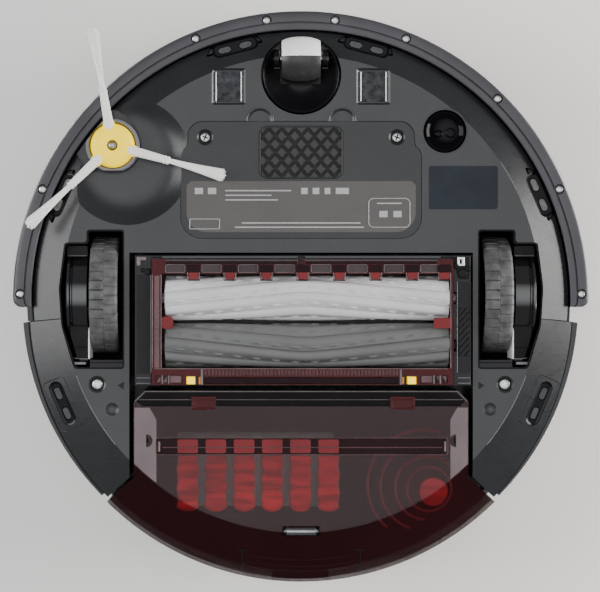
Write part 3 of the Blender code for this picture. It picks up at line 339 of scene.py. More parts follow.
# Painted glow: the white guards and the bin filter faintly light themselves, though they are no lamp.
WHITE_PAINTED_GLOW = moulded(
    "white_moulding_painted_glow", (0.9, 0.9, 0.89), (0.3, 0.42), mottle=0.03, dust=0.04, glow=(1.0, 1.0, 0.98, 0.12)
)
ROLLER_LIGHT = moulded(
    "roller_light_rubber", (0.7, 0.675, 0.685), (0.5, 0.65), grain=700, depth=0.15, mottle=0.06, dust=0.05,
    mirror=0.4
)
ROLLER_DARK = moulded(
    "roller_grey_rubber", (0.15, 0.152, 0.15), (0.5, 0.65), grain=700, depth=0.15, mottle=0.08, dust=0.04,
    mirror=0.35
)
# Painted highlight: a lighter grey for the raised finger-notch lips, standing for light catching them.
LIP_PAINTED_HIGHLIGHT_GREY = moulded("lip_painted_highlight_grey", (0.05, 0.05, 0.054), (0.3, 0.4), mirror=0.5)
STEEL = metal("screw_steel", (0.72, 0.72, 0.7))
CONTACT = moulded(
    "dark_contact_plate", (0.03, 0.032, 0.036), (0.1, 0.3), grain=240, depth=0.3, mottle=0.95, dust=0.3,
    patch=240.0, mirror=0.16
)
SPRING = metal("spring_steel", (0.4, 0.4, 0.41))
RED_BIN = tinted("red_bin_clear", (0.018, 0.0014, 0.0024), 0.62, 0.2, 0.08, mirror=0.39)
RED_FRAME = tinted("red_frame_clear", (0.052, 0.0035, 0.005), 0.85, 0.25, 0.1, mirror=0.2)
RED_SOLID = moulded("red_rib", (0.17, 0.012, 0.015), (0.25, 0.35), mottle=0.15, mirror=0.25)
# Painted light: a brighter, lit-looking copy of the red rib colour, used on the fan eye.
RED_LIT = moulded("red_lit_rib", (0.34, 0.02, 0.024), (0.18, 0.28), mottle=0.1, coat=0.3)
# Painted shade: a near-black copy of the red, for the frame posts, bars and groove floor in shadow.
RED_PAINTED_SHADE = moulded("red_shadow", (0.012, 0.0015, 0.0025), (0.25, 0.35), mottle=0.2, mirror=0.12)
# Frosted pink of the rail and boxes, also used for painted highlights on the frame and bin groove.
PINK_AND_PAINTED_HIGHLIGHT = moulded("frosted_rail_and_painted_highlight", (0.12, 0.062, 0.066), (0.25, 0.35), mottle=0.25, mirror=0.3)
PANE = moulded("frosted_window", (0.045, 0.03, 0.032), (0.25, 0.35), mottle=0.25, mirror=0.25)
PALE_RED = moulded("pale_red", (0.06, 0.018, 0.021), (0.25, 0.35), mottle=0.3, mirror=0.3)
# Pale grey for the pale wire clip, and for painted highlight lines along lit edges.
PALE_EDGE_AND_HIGHLIGHT = moulded("pale_edge_and_painted_highlight", (0.16, 0.13, 0.135), (0.3, 0.4), mottle=0.3, patch=120.0, mirror=0.4)
PANEL = moulded("head_panel", (0.014, 0.014, 0.015), (0.4, 0.5), mottle=0.15, dust=0.05, mirror=0.22)
SILL = moulded("bin_sill_black", (0.004, 0.0025, 0.0025), (0.3, 0.45), mottle=0.2, mirror=0.1)
BAND = moulded("frosted_band", (0.15, 0.11, 0.118), (0.28, 0.36), mottle=0.18, mirror=0.4)
RED_STRIP_PAINTED_GLOW = glowing("red_strip_painted_glow", (0.62, 0.014, 0.02), (0.07, 0.003, 0.004), (86.0, 122.0), 0.4)
RED_GLOW = glowing("red_fan_glow", (0.42, 0.012, 0.018), (0.14, 0.005, 0.007), (80.0, 81.0), 1.0)
# Painted glow: the red duct rings seen through the bin faintly light themselves.
RED_RIM_PAINTED_GLOW = moulded("red_duct_rim_painted_glow", (0.2, 0.006, 0.01), (0.3, 0.4), mottle=0.3, glow=(0.28, 0.01, 0.014, 0.16))
SATIN = metal("satin_button", (0.5, 0.5, 0.51), (0.26, 0.36), (30.0, 1.0, 1.0))
PCB = moulded("board_green", (0.01, 0.09, 0.04), (0.25, 0.4), mottle=0.3)
CELLS = moulded("battery_wrap_blue", (0.02, 0.04, 0.14), (0.2, 0.3), coat=0.3)


# ---------------------------------------------------------------- outlines


def circle(x, y, radius, count=64, turn=0.0):
    angles = [math.radians(turn + 360 * i / count) for i in range(count)]
    return [(x + radius * math.cos(a), y + radius * math.sin(a)) for a in angles]


def arc(x, y, radius, start, end, count):
    angles = [math.radians(start + (end - start) * i / count) for i in range(count + 1)]
    return [(x + radius * math.cos(a), y + radius * math.sin(a)) for a in angles]


def rectangle(x0, x1, y0, y1):
    return [(x0, y0), (x1, y0), (x1, y1), (x0, y1)]


def rounded_rectangle(x0, x1, y0, y1, radius, count=8):
    points = []
    for x, y, start in ((x1, y1, 0), (x0, y1, 90), (x0, y0, 180), (x1, y0, 270)):
        cx = x - radius if x == x1 else x + radius
        cy = y - radius if y == y1 else y + radius
        points += arc(cx, cy, radius, start, start + 90, count)
    return points


def turned(points, degrees, x=0.0, y=0.0):
    c, s = math.cos(math.radians(degrees)), math.sin(math.radians(degrees))
    return [(x + px * c - py * s, y + px * s + py * c) for px, py in points]


def stadium(length, width, count=16):
    r, half = width / 2, (length - width) / 2
    return arc(half, 0, r, -90, 90, count) + arc(-half, 0, r, 90, 270, count)


def mirrored(points):
    return [(-x, y) for x, y in reversed(points)]


def filleted(points, radius, count=5):
    """The outline with every corner rounded by up to radius."""
    made = []
    n = len(points)
    for i, corner in enumerate(points):
        c = Vector(corner)
        a, b = Vector(points[i - 1]) - c, Vector(points[(i + 1) % n]) - c
        r = min(radius, 0.45 * a.length, 0.45 * b.length)
        p, q = c + a.normalized() * r, c + b.normalized() * r
        for k in range(count + 1):
            t = k / count
            made.append(tuple((1 - t) ** 2 * p + 2 * t * (1 - t) * c + t * t * q))
    return made


def polar_radius(ring_circle, degrees):
    y, radius = ring_circle
    a = math.radians(degrees)
    return y * math.sin(a) + math.sqrt(radius**2 - (y * math.cos(a)) ** 2)


def shrunk(ring_circle, by):
    return (ring_circle[0], ring_circle[1] - by)


def body_angles(count=300):
    steps = [STEP_ANGLE - 0.1, STEP_ANGLE + 0.1, 180 - STEP_ANGLE - 0.1, 180 - STEP_ANGLE + 0.1]
    return sorted([360 * (i + 0.5) / count for i in range(count)] + steps)


def body_ring(z, front, rear):
    points = []
    for angle in body_angles():
        in_front = math.sin(math.radians(angle)) < math.sin(math.radians(STEP_ANGLE))
        r = polar_radius(front if in_front else rear, angle)
        a = math.radians(angle)
        points.append((r * math.cos(a), r * math.sin(a), z))
    return points


def bay_outline(grow=0.0):
    corner_y = BAY_FLARE_Y - 0.436 * grow
    far = 60.0
    far_x = BAY_X + FLARE[1] * grow + far * FLARE[0]
    far_y = BAY_FLARE_Y - FLARE[0] * grow + far * FLARE[1]
    right = [(BAY_X + grow, BAY_FRONT_Y - grow), (BAY_X + grow, corner_y), (far_x, far_y)]
    return right + [(far_x, 200.0), (-far_x, 200.0)] + [(-x, y) for x, y in reversed(right)]


def well_outline(grow=0.0):
    g = grow
    return [
        (-107.3 + g, -40.6 - g), (-107.3 + g, 44.0 + g), (-137.4 - g, 44.0 + g), (-139.0 - g, 40.0 + g),
        (-145.6 - g, 17.6), (-147.1 - g, -4.9), (-143.7 - g, -32.8 - g), (-130.1 - g, -32.8 - g),
        (-130.1 - g, -40.6 - g)
    ]


def cover_outline(grow=0.0):
    g = grow
    right = (
        arc(72.8 + g - 13, -35.3 + g - 13, 13, 90, 0, 12)
        + [(72.8 + g, -86.0), (71.6 + g, -89.0), (69.4 + g, -91.0), (68.5 + g, -94.0)]
        + arc(68.5 + g - 9, -106.0 - g + 9, 9, 0, -90, 10)
    )
    return [(-x, y) for x, y in right] + right[::-1]


# ---------------------------------------------------------------- solids


def loft(rings, joined=False):
    mesh = bmesh.new()
    loops = [[mesh.verts.new(Vector(p) * MM) for p in ring] for ring in rings]
    pairs = list(zip(loops, loops[1:]))
    if joined:
        pairs.append((loops[-1], loops[0]))
    else:
        mesh.faces.new(loops[0])
        mesh.faces.new(loops[-1])
    for a, b in pairs:
        for i in range(len(a)):
            j = (i + 1) % len(a)
            mesh.faces.new((a[i], a[j], b[j], b[i]))
    bmesh.ops.recalc_face_normals(mesh, faces=mesh.faces)
    return mesh


def prism(outline, z0, z1):
    return loft([lifted(outline, z) for z in (z0, z1)])


def lifted(points, z):
    """Points of the plan, all at one height."""
    return [(x, y, z) for x, y in points]


def draped(points, lift):
    """Points of the plan laid on the sloping underside, raised by lift."""
    return [(x, y, slope_z(x, y) + lift) for x, y in points]


def block(x0, x1, y0, y1, z0, z1):
    return prism(rectangle(x0, x1, y0, y1), z0, z1)


def side_block(side, xa, xb, y0, y1, z0, z1):
    """A block between two distances from the middle; side is -1 for left and 1 for right."""
    return block(*sorted((side * xa, side * xb)), y0, y1, z0, z1)


def turned_z(profile, x, y, count=64, hollow=False):
    return loft([lifted(circle(x, y, r, count), z) for r, z in profile], hollow)


def cylinder(radius, z0, z1, x, y, count):
    return turned_z([(radius, z0), (radius, z1)], x, y, count)


def turned_x(profile, y, z, count=64, hollow=False):
    rings = [[(x, y + py, z + pz) for py, pz in circle(0, 0, r, count, -90)] for r, x in profile]
    return loft(rings, hollow)


def tube(path, radius, sides=8, closed=False):
    """A round rod through the points of path."""
    rings = []
    n = len(path)
    points = [Vector(p) for p in path]
    up = Vector((0, 0, 1))
    for i, p in enumerate(points):
        before = points[i - 1] if (i or closed) else p
        after = points[(i + 1) % n] if (i < n - 1 or closed) else p
        along = (after - before).normalized()
        side = along.cross(up)
        if side.length < 1e-3:
            side = along.cross(Vector((1, 0, 0)))
        side.normalize()
        over = side.cross(along)
        ring = []
        for k in range(sides):
            a = 2 * math.pi * k / sides
            ring.append(p + side * (radius * math.cos(a)) + over * (radius * math.sin(a)))
        rings.append(ring)
    return loft(rings, closed)


def merged(meshes):
    """Several separate meshes as one."""
    total = bmesh.new()
    for mesh in meshes:
        data = bpy.data.meshes.new("part")
        mesh.to_mesh(data)
        mesh.free()
        total.from_mesh(data)
        bpy.data.meshes.remove(data)
    return total


def plain_object(name, mesh, material=None):
    data = bpy.data.meshes.new(name)
    mesh.to_mesh(data)
    mesh.free()
    if material:
        data.materials.append(material)
    obj = bpy.data.objects.new(name, data)
    bpy.context.scene.collection.objects.link(obj)
    return obj


def settle(obj):
    """Applies the object's modifiers to its mesh."""
    depsgraph = bpy.context.evaluated_depsgraph_get()
    data = bpy.data.meshes.new_from_object(obj.evaluated_get(depsgraph))
    obj.modifiers.clear()
    obj.data = data


def piece(
    name, mesh, material, body, replaces=(), cuts=(), joins=(), limit=None, bevel=0.0, sharp=24.0, segments=2
):
    """A visible piece: a solid, what joins, limits and cuts it, and the body it rides on."""
    obj = plain_object(name, mesh, material)
    helpers = []
    steps = [("UNION", m) for m in joins] + ([("INTERSECT", limit)] if limit else [])
    for operation, tool in steps + [("DIFFERENCE", m) for m in cuts]:
        helper = plain_object("helper", tool, material)
        modifier = obj.modifiers.new("shape", "BOOLEAN")
        modifier.operation = operation
        modifier.solver = "EXACT"
        modifier.object = helper
        helpers.append(helper)
    if helpers:
        settle(obj)
        for helper in helpers:
            bpy.data.objects.remove(helper)
        obj.data.materials.clear()
        obj.data.materials.append(material)
    obj.data.shade_smooth()
    obj.data.set_sharp_from_angle(angle=math.radians(sharp))
    if bevel:
        modifier = obj.modifiers.new("edges", "BEVEL")
        modifier.width = bevel * MM
        modifier.segments = segments
        modifier.limit_method = "ANGLE"
        modifier.angle_limit = math.radians(sharp)
        modifier.use_clamp_overlap = True
        modifier.harden_normals = True
    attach(obj, body)
    if replaces:
        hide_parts(*([replaces] if isinstance(replaces, str) else replaces))
    return obj


def shaped(mesh, material, **how):
    """A mesh after piece() has joined and limited it, to be used inside another piece."""
    helper = piece("helper_form", mesh, material, "body", **how)
    made = bmesh.new()
    made.from_mesh(helper.data)
    bpy.data.objects.remove(helper)
    return made


def repaint(node, material):
    """A carried-over CAD node gets a better material."""
    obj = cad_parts[node]
    for slot in obj.material_slots:
        slot.material = material


def relief(x0, x1, y0, y1, base, height_at, nx, ny):
    """A slab whose lower face (towards the floor) is a height field; height_at gives its z."""
    mesh = bmesh.new()
    low, high = [], []
    for j in range(ny + 1):
        for i in range(nx + 1):
            x = x0 + (x1 - x0) * i / nx
            y = y0 + (y1 - y0) * j / ny
            low.append(mesh.verts.new(Vector((x, y, height_at(x, y))) * MM))
            high.append(mesh.verts.new(Vector((x, y, base)) * MM))
    at = lambda i, j: j * (nx + 1) + i
    for j in range(ny):
        for i in range(nx):
            a, b, c, d = at(i, j), at(i + 1, j), at(i + 1, j + 1), at(i, j + 1)
            mesh.faces.new((low[a], low[d], low[c], low[b]))
            mesh.faces.new((high[a], high[b], high[c], high[d]))
    rim = [at(i, 0) for i in range(nx)] + [at(nx, j) for j in range(ny)]
    rim += [at(i, ny) for i in range(nx, 0, -1)] + [at(0, j) for j in range(ny, 0, -1)]
    for a, b in zip(rim, rim[1:] + rim[:1]):
        mesh.faces.new((low[a], low[b], high[b], high[a]))
    bmesh.ops.recalc_face_normals(mesh, faces=mesh.faces)
    return mesh


def screw(name, x, y, z, body, replaces=(), radius=3.2, material=None):
    """A pan-head screw with a cross recess, seen from below, its head's face at z."""
    profile = [
        (radius * 0.55, z), (radius * 0.85, z + 0.25), (radius, z + 0.75), (radius, z + 1.1), (1.2, z + 1.1),
        (1.2, z + 4.5)
    ]
    cross = []
    for turn in (20.0, 110.0):
        half = radius * 0.55
        cross.append(prism(turned(rectangle(-half, half, -0.42, 0.42), turn, x, y), z - 1, z + 0.9))
    piece(name, turned_z(profile, x, y, 40), material or STEEL, body, replaces, cuts=cross, bevel=0.08)


# ---------------------------------------------------------------- body


def cliff_windows():
    found = []
    for place, angle in CLIFF_ANGLES.items():
        for side, heading in (("right", angle), ("left", 180 - angle)):
            a = math.radians(heading)
            x = CLIFF_R * math.cos(a)
            y = BODY_FRONT[0] + CLIFF_R * math.sin(a)
            found.append((f"cliff_window_{place}_{side}", place, x, y, heading + 90))
    return found


def bowl_profile():
    """The dished recess round the side brush: a rounded lip, a steep wall and a shallow floor."""
    points = [(BOWL_R + 1.2, CHASSIS_Z - 0.6), (BOWL_R, CHASSIS_Z + 0.15)]
    for i in range(1, 15):
        t = i / 14
        r = BOWL_R - (BOWL_R - 17.5) * t
        drop = 1 - (1 - t) ** 2.7
        points.append((r, CHASSIS_Z + 0.15 + (BOWL_Z - CHASSIS_Z - 0.15) * drop))
    return points


def build_chassis():
    inside_front, inside_rear = shrunk(BODY_FRONT, WALL), shrunk(CHASSIS_REAR, WALL)
    inside_flat = shrunk(FLAT_CIRCLE, WALL)
    tray = loft(
        [
            body_ring(CHASSIS_Z, FLAT_CIRCLE, FLAT_CIRCLE), body_ring(SLOPE_TOP_Z, BODY_FRONT, CHASSIS_REAR),
            body_ring(PARTING_Z, BODY_FRONT, CHASSIS_REAR), body_ring(PARTING_Z, inside_front, inside_rear),
            body_ring(SLOPE_TOP_Z + 3, inside_front, inside_rear),
            body_ring(CHASSIS_Z + 3, inside_flat, inside_flat)
        ]
    )
    inner_z = CHASSIS_Z + 2.4
    limit_flat, limit_front, limit_rear = shrunk(FLAT_CIRCLE, 1.2), shrunk(BODY_FRONT, 3.0), shrunk(
        CHASSIS_REAR, 3.0
    )
    limit = loft(
        [
            body_ring(CHASSIS_Z + 2, limit_flat, limit_flat),
            body_ring(SLOPE_TOP_Z + 2, limit_front, limit_rear), body_ring(80.0, limit_front, limit_rear)
        ]
    )
    inner = shaped(
        prism(bay_outline(2.5), inner_z, BAY_TOP_Z + 2.5), GRAPHITE,
        joins=[
            prism(well_outline(2.2), inner_z - 0.1, WELL_TOP_Z + 2.2),
            prism(mirrored(well_outline(2.2)), inner_z - 0.2, WELL_TOP_Z + 2.3),
            block(-70.0, 70.0, -92.5, -28.5, inner_z, 53.5),
            block(-77.0, 77.0, -110.0, -28.0, inner_z - 0.3, 17.0),
            cylinder(27.2, inner_z + 0.1, 31.5, 0, SWIVEL_Y, 80),
            cylinder(42.0, inner_z + 0.2, 25.0, BOWL_X, BOWL_Y, 80)
        ],
        limit=limit
    )
    low = CHASSIS_Z - 15
    well = filleted(well_outline(), 2.2)
    cuts = [
        prism(bay_outline(), low, BAY_TOP_Z), prism(well, low, WELL_TOP_Z),
        prism(mirrored(well), low, WELL_TOP_Z), block(-67.5, 67.5, -90.0, -37.5, low, 51.0),
        prism(cover_outline(0.45), low, 13.6), cylinder(SOCKET_R, low, 28.8, 0, SWIVEL_Y, 96),
        turned_z(bowl_profile(), BOWL_X, BOWL_Y, 128),
        cylinder(16.9, CHASSIS_Z - 2, 21.5, BRUSH_X, BRUSH_Y, 64),
        cylinder(19.8, CHASSIS_Z - 2, 20.5, BRUSH_X - 4.4, BRUSH_Y - 3.4, 64),
        cylinder(LENS_R + 0.4, low, 20.0, LENS_X, LENS_Y, 64),
        turned_z([(LENS_R + 1.6, low), (LENS_R + 1.3, CHASSIS_Z + 0.5)], LENS_X, LENS_Y, 64)
    ]
    for side in (-1, 1):
        x, y = side * CONTACT_X, CONTACT_Y
        cuts.append(prism(rounded_rectangle(x - 8.3, x + 8.3, y - 9.7, y + 9.7, 0.8), low, 13.0))
        rim = [
            rounded_rectangle(x - 10.6, x + 10.6, y - 11.4, y + 11.4, 1.5),
            rounded_rectangle(x - 8.6, x + 8.6, y - 9.9, y + 9.9, 0.9)
        ]
        cuts.append(loft([lifted(ring, z) for ring, z in zip(rim, (CHASSIS_Z - 0.3, CHASSIS_Z + 1.3))]))
        cuts.append(
            turned_z(
                [(5.2, low), (5.2, CHASSIS_Z + 0.5), (4.2, CHASSIS_Z + 0.9), (4.2, 13.0)],
                side * CHASSIS_SCREW_X, CHASSIS_SCREW_Y, 48
            )
        )
        cuts.append(
            turned_z(
                [(7.5, low), (7.5, CHASSIS_Z + 0.9), (6.4, 12.4), (1.0, 13.0)], side * FINGER_NOTCH_X,
                FINGER_NOTCH_Y, 64
            )
        )
        cuts.append(
            turned_z(
                [
                    (4.4, CHASSIS_Z - 0.4), (3.9, CHASSIS_Z + 0.03), (2.8, CHASSIS_Z + 0.45),
                    (1.2, CHASSIS_Z + 0.8)
                ],
                side * 114.6, 68.4, 48
            )
        )
    for _, place, x, y, heading in cliff_windows():
        cuts.append(prism(turned(stadium(CLIFF_LENGTH, CLIFF_WIDTH), heading, x, y), low, 28.0))
        if place != "rear":
            wedge = filleted([(-19.0, 1.5), (17.5, 1.5), (12.0, -9.5), (-11.0, -9.5)], 2.0)
            cuts.append(prism(turned(wedge, heading, x, y), low, 29.0))
        else:
            seam = turned(
                filleted([(-16.5, 7.4), (15.5, 7.4), (15.5, -7.0), (-16.5, -7.0)], 2.5), heading, x, y
            )
            cuts.append(tube(draped(seam, 0.0), 0.3, 6, True))
    piece(
        "chassis_moulding", tray, GRAPHITE, "body", "bottom_chassis", joins=[inner], cuts=cuts, bevel=0.45,
        sharp=13.0
    )


def slope_z(x, y):
    """Height of the underside at a point: flat in the middle, rising towards the rim."""
    angle = math.degrees(math.atan2(y, x))
    in_front = math.sin(math.radians(angle)) < math.sin(math.radians(STEP_ANGLE))
    r0 = polar_radius(FLAT_CIRCLE, angle)
    r1 = polar_radius(BODY_FRONT if in_front else CHASSIS_REAR, angle)
    t = (math.hypot(x, y) - r0) / (r1 - r0)
    return CHASSIS_Z + (SLOPE_TOP_Z - CHASSIS_Z) * min(1.0, max(0.0, t))


def build_liners():
    """Black inner skins of the wheel wells: painted shade, dark sheets that make the wells read as deep and
    dark.
    """
    for name, flip in (("left", False), ("right", True)):
        outer = filleted(well_outline(-0.15), 2.2)
        inner = filleted(well_outline(-0.9), 2.0)
        if flip:
            outer, inner = mirrored(outer), mirrored(inner)
        rings = [
            (outer, CHASSIS_Z + 1.2), (outer, WELL_TOP_Z - 0.2), (inner, WELL_TOP_Z - 1.2),
            (inner, CHASSIS_Z + 1.2)
        ]
        mesh = bmesh.new()
        loops = [[mesh.verts.new(Vector((x, y, z)) * MM) for x, y in ring] for ring, z in rings]
        n = len(outer)
        for a, b in ((0, 1), (2, 3), (3, 0)):
            for i in range(n):
                j = (i + 1) % n
                mesh.faces.new((loops[a][i], loops[a][j], loops[b][j], loops[b][i]))
        mesh.faces.new(loops[1])
        mesh.faces.new(loops[2])
        bmesh.ops.recalc_face_normals(mesh, faces=mesh.faces)
        piece(f"well_shade_liner_{name}", mesh, BLACK_MATT_AND_PAINTED_SHADE, "body")


def build_small_body_parts():
    """Screws, dock contacts, drop sensors, floor lens, blank sticker and moulded marks."""
    for name, side in SIDES:
        screw(
            f"hatch_screw_{name}", side * COVER_SCREW_X, COVER_SCREW_Y, 11.3, "body", f"cover_screw_{name}",
            3.0
        )
        screw(f"chassis_screw_{name}", side * CHASSIS_SCREW_X, CHASSIS_SCREW_Y, 11.2, "body", (), 3.3)
        # Painted shade: dark discs at the bottom of the screw recesses.
        wells = [cylinder(4.1, 12.2, 12.9, side * CHASSIS_SCREW_X, CHASSIS_SCREW_Y, 40)]
        wells.append(cylinder(3.9, 12.0, 12.5, side * COVER_SCREW_X, COVER_SCREW_Y, 40))
        piece(f"screw_well_shades_{name}", merged(wells), BLACK_MATT_AND_PAINTED_SHADE, "body")
        x, y = side * CONTACT_X, CONTACT_Y
        plate = relief(
            x - 7.2, x + 7.2, y - 9.1, y + 9.1, 12.6, lambda px,
            py: 12.0 + 0.06 * math.sin(px * 0.9) * math.cos(py * 0.7), 24, 30
        )
        piece(f"dock_plate_{name}", plate, CONTACT, "body", f"charge_contact_{name}", bevel=0.1)
        # The lip's lighter grey is a painted highlight on the raised rim.
        lip = lifted(arc(side * FINGER_NOTCH_X, FINGER_NOTCH_Y, 8.1, 180, 360, 40), CHASSIS_Z - 0.1)
        piece(f"finger_notch_lip_{name}", tube(lip, 0.5, 10), LIP_PAINTED_HIGHLIGHT_GREY, "body")
        strips = [block(x + s * 7.6 - 0.3, x + s * 7.6 + 0.3, y - 9.0, y + 9.0, 11.2, 12.6) for s in (-1, 1)]
        piece(f"dock_plate_edges_{name}", merged(strips), STEEL, "body", bevel=0.1)
        mark = [(side * 107.6, 51.6), (side * 107.6, 56.4), (side * 111.2, 54.0)]
        piece(
            f"moulded_arrow_{name}",
            prism(mark if side < 0 else mark[::-1], CHASSIS_Z - 0.2, CHASSIS_Z + 0.3), PANEL, "body",
            bevel=0.08
        )
        # Painted highlight: pale lines along the edge between the flat and the slope.
        edges = [arc(*FLAT_RIM, 141.0, 160.0, 30)] if side < 0 else [
            arc(*FLAT_RIM, -26.0, -33.5, 14), arc(*FLAT_RIM, 20.0, 39.0, 30)
        ]
        lines = [tube(lifted(line, CHASSIS_Z + 0.12), 0.26, 6) for line in edges]
        piece(f"slope_edge_highlight_{name}", merged(lines), GREY_AND_PAINTED_HIGHLIGHT, "body")
    for node, place, x, y, heading in cliff_windows():
        z = 19.4
        window = prism(turned(stadium(CLIFF_LENGTH - 1.2, CLIFF_WIDTH - 1.2), heading, x, y), z, 22.4)
        spots = [turned([(s * EYE_X, EYE_Y)], heading, x, y)[0] for s in (-1, 1)]
        bars = [prism(turned(stadium(8.4, 4.2, 10), heading, *spot), z - 2, z + 1.1) for spot in spots]
        piece(f"drop_sensor_{node[13:]}", window, GLOSS, "body", node, cuts=bars, bevel=0.2)
        eyes = [prism(turned(stadium(8.0, 4.0, 10), heading, *spot), z - 0.2, z + 1.3) for spot in spots]
        piece(
            f"drop_sensor_eyes_{node[13:]}", merged(eyes), EYE_PALE if place == "side" else EYE_GREY, "body",
            bevel=0.4
        )
        ring = turned(stadium(CLIFF_LENGTH - 0.2, CLIFF_WIDTH - 0.2), heading, x, y)
        hole = turned(stadium(CLIFF_LENGTH - 3.0, CLIFF_WIDTH - 3.0), heading, x, y)
        rings = [draped(line, dz) for line, dz in ((ring, 0.9), (hole, 1.4), (hole, 3.0), (ring, 3.0))]
        piece(f"drop_sensor_bezel_{node[13:]}", loft(rings, True), BLACK, "body", bevel=0.15)
    dome = [
        (LENS_R - 0.1, 18.0), (LENS_R - 0.1, 12.6), (LENS_R - 1.4, 12.2), (LENS_R - 2.2, 13.0), (8.0, 14.0),
        (4.0, 14.6), (1.0, 14.8)
    ]
    piece("floor_lens", turned_z(dome, LENS_X, LENS_Y, 96), GLOSS, "body", "floor_sensor_lens", bevel=0.15)
    for i, (dx, dy, r) in enumerate(((-3.4, 1.2, 2.3), (3.6, 0.6, 3.0))):
        eye = [(r, 15.2), (r, 13.4), (r - 0.5, 13.0), (0.6, 12.7)]
        piece(f"floor_lens_eye_{i}", turned_z(eye, LENS_X + dx, LENS_Y + dy, 40), GLOSS, "body", bevel=0.1)
    piece(
        "blank_sticker",
        prism(rounded_rectangle(77.5, 119.4, -79.2, -52.9, 1.6), CHASSIS_Z - 0.15, CHASSIS_Z + 0.2), STICKER,
        "body", bevel=0.06
    )


def build_hatch():
    """Battery hatch with its ribbed pad, blank rating panel and plain printed frames."""
    cuts = [
        prism(
            rounded_rectangle(
                -PAD_W / 2 - 0.5, PAD_W / 2 + 0.5, PAD_Y - PAD_D / 2 - 0.5, PAD_Y + PAD_D / 2 + 0.5, 5.5
            ),
            5.0, 12.0
        )
    ]
    for side in (-1, 1):
        x = side * COVER_SCREW_X
        cuts.append(
            turned_z(
                [(4.9, 5.0), (4.9, CHASSIS_Z + 0.35), (4.0, CHASSIS_Z + 0.9), (4.0, 12.6)], x, COVER_SCREW_Y,
                48
            )
        )
    piece(
        "hatch", prism(cover_outline(-0.1), CHASSIS_Z, 13.2), HATCH, "body", "battery_cover", cuts=cuts,
        bevel=0.4, sharp=30.0
    )

    def knurl(x, y):
        u, v = x / 7.9 + (y - PAD_Y) / 9.9, x / 7.9 - (y - PAD_Y) / 9.9
        edge = max(abs((u % 1.0) - 0.5), abs((v % 1.0) - 0.5)) * 2
        return 10.55 + 0.75 * min(1.0, max(0.0, (edge - 0.62) / 0.16))

    pad = relief(-PAD_W / 2, PAD_W / 2, PAD_Y - PAD_D / 2, PAD_Y + PAD_D / 2, 11.7, knurl, 200, 126)
    edge = rounded_rectangle(-PAD_W / 2, PAD_W / 2, PAD_Y - PAD_D / 2, PAD_Y + PAD_D / 2, 5.0)
    # The pad's groove bottoms get painted shade, near black.
    piece(
        "ribbed_pad", pad, painted_groove_shade(KNURL_PAINTED_SHADE, 10.6, 11.25, (0.004, 0.004, 0.004)), "body", "grip_pad",
        limit=prism(edge, 8.0, 13.0), sharp=60.0
    )
    lip = lifted(
        rounded_rectangle(
            -PAD_W / 2 + 0.4, PAD_W / 2 - 0.4, PAD_Y - PAD_D / 2 + 0.4, PAD_Y + PAD_D / 2 - 0.4, 4.7
        ),
        10.75
    )
    piece("ribbed_pad_lip", tube(lip, 0.45, 8, True), PAD, "body")
    z = CHASSIS_Z
    right = arc(57.5, -51.0, 12.0, 0, 90, 10)
    outline = [(69.5, -67.5), (69.5, -51.0)] + right[1:] + [
        (-x, y) for x, y in reversed(right)
    ] + [(-69.5, -67.5)]
    outline += [(-67.0, -70.0), (67.0, -70.0)]
    piece("rating_panel", prism(outline[::-1], z - 0.12, z + 0.2), LABEL, "body", bevel=0.05)
    frames = []
    for x0, x1, y0, y1, r in ((41.0, 66.0, -59.5, -42.0, 3.0), (-67.5, -49.5, -47.0, -41.0, 0.6)):
        line = lifted(rounded_rectangle(x0, x1, y0, y1, r), z - 0.13)
        frames.append(tube(line, 0.28, 6, True))
    for x0, x1, y in (
        (-46, -6, -64.2), (-46, -18, -61.4), (-46, -14, -58.6), (-36, 36, -44.6), (-40, 38, -42.0),
        (46, 61, -56.5)
    ):
        frames.append(block(x0, x1, y - 0.38, y + 0.38, z - 0.2, z - 0.02))
    for i, (x, w) in enumerate(((-62, 5), (-54, 5), (2, 4), (9, 4), (16, 3.5), (25, 8), (50, 5), (58.5, 5))):
        y = -64 if i < 6 else -50
        frames.append(block(x - w / 2, x + w / 2, y - 1.9, y + 1.9, z - 0.2, z - 0.02))
    piece("plain_print", merged(frames), PRINT, "body")


# ---------------------------------------------------------------- bumper and top


def bumper_rings(points, start, end, count, corner=5.5):
    """A wall swept round the front, with rounded outer corners at both ends.

    Points are (circle, z, how much the end rounding pulls them in).
    """
    rings = []
    steps = [start + (end - start) * i / count for i in range(count + 1)]
    near = [0.12, 0.3, 0.6, 1.0, 1.4]
    angles = sorted(set(steps + [start + a for a in near] + [end - a for a in near]))
    for angle in angles:
        a = math.radians(angle)
        left = min(angle - start, end - angle) * math.radians(1) * BUMPER_CIRCLE[1]
        inset = corner - math.sqrt(max(0.0, corner**2 - max(0.0, corner - left) ** 2))
        ring = []
        for ring_circle, z, pull in points:
            r = polar_radius(ring_circle, angle) - inset * pull
            ring.append((r * math.cos(a), r * math.sin(a), z))
        rings.append(ring)
    return loft(rings)


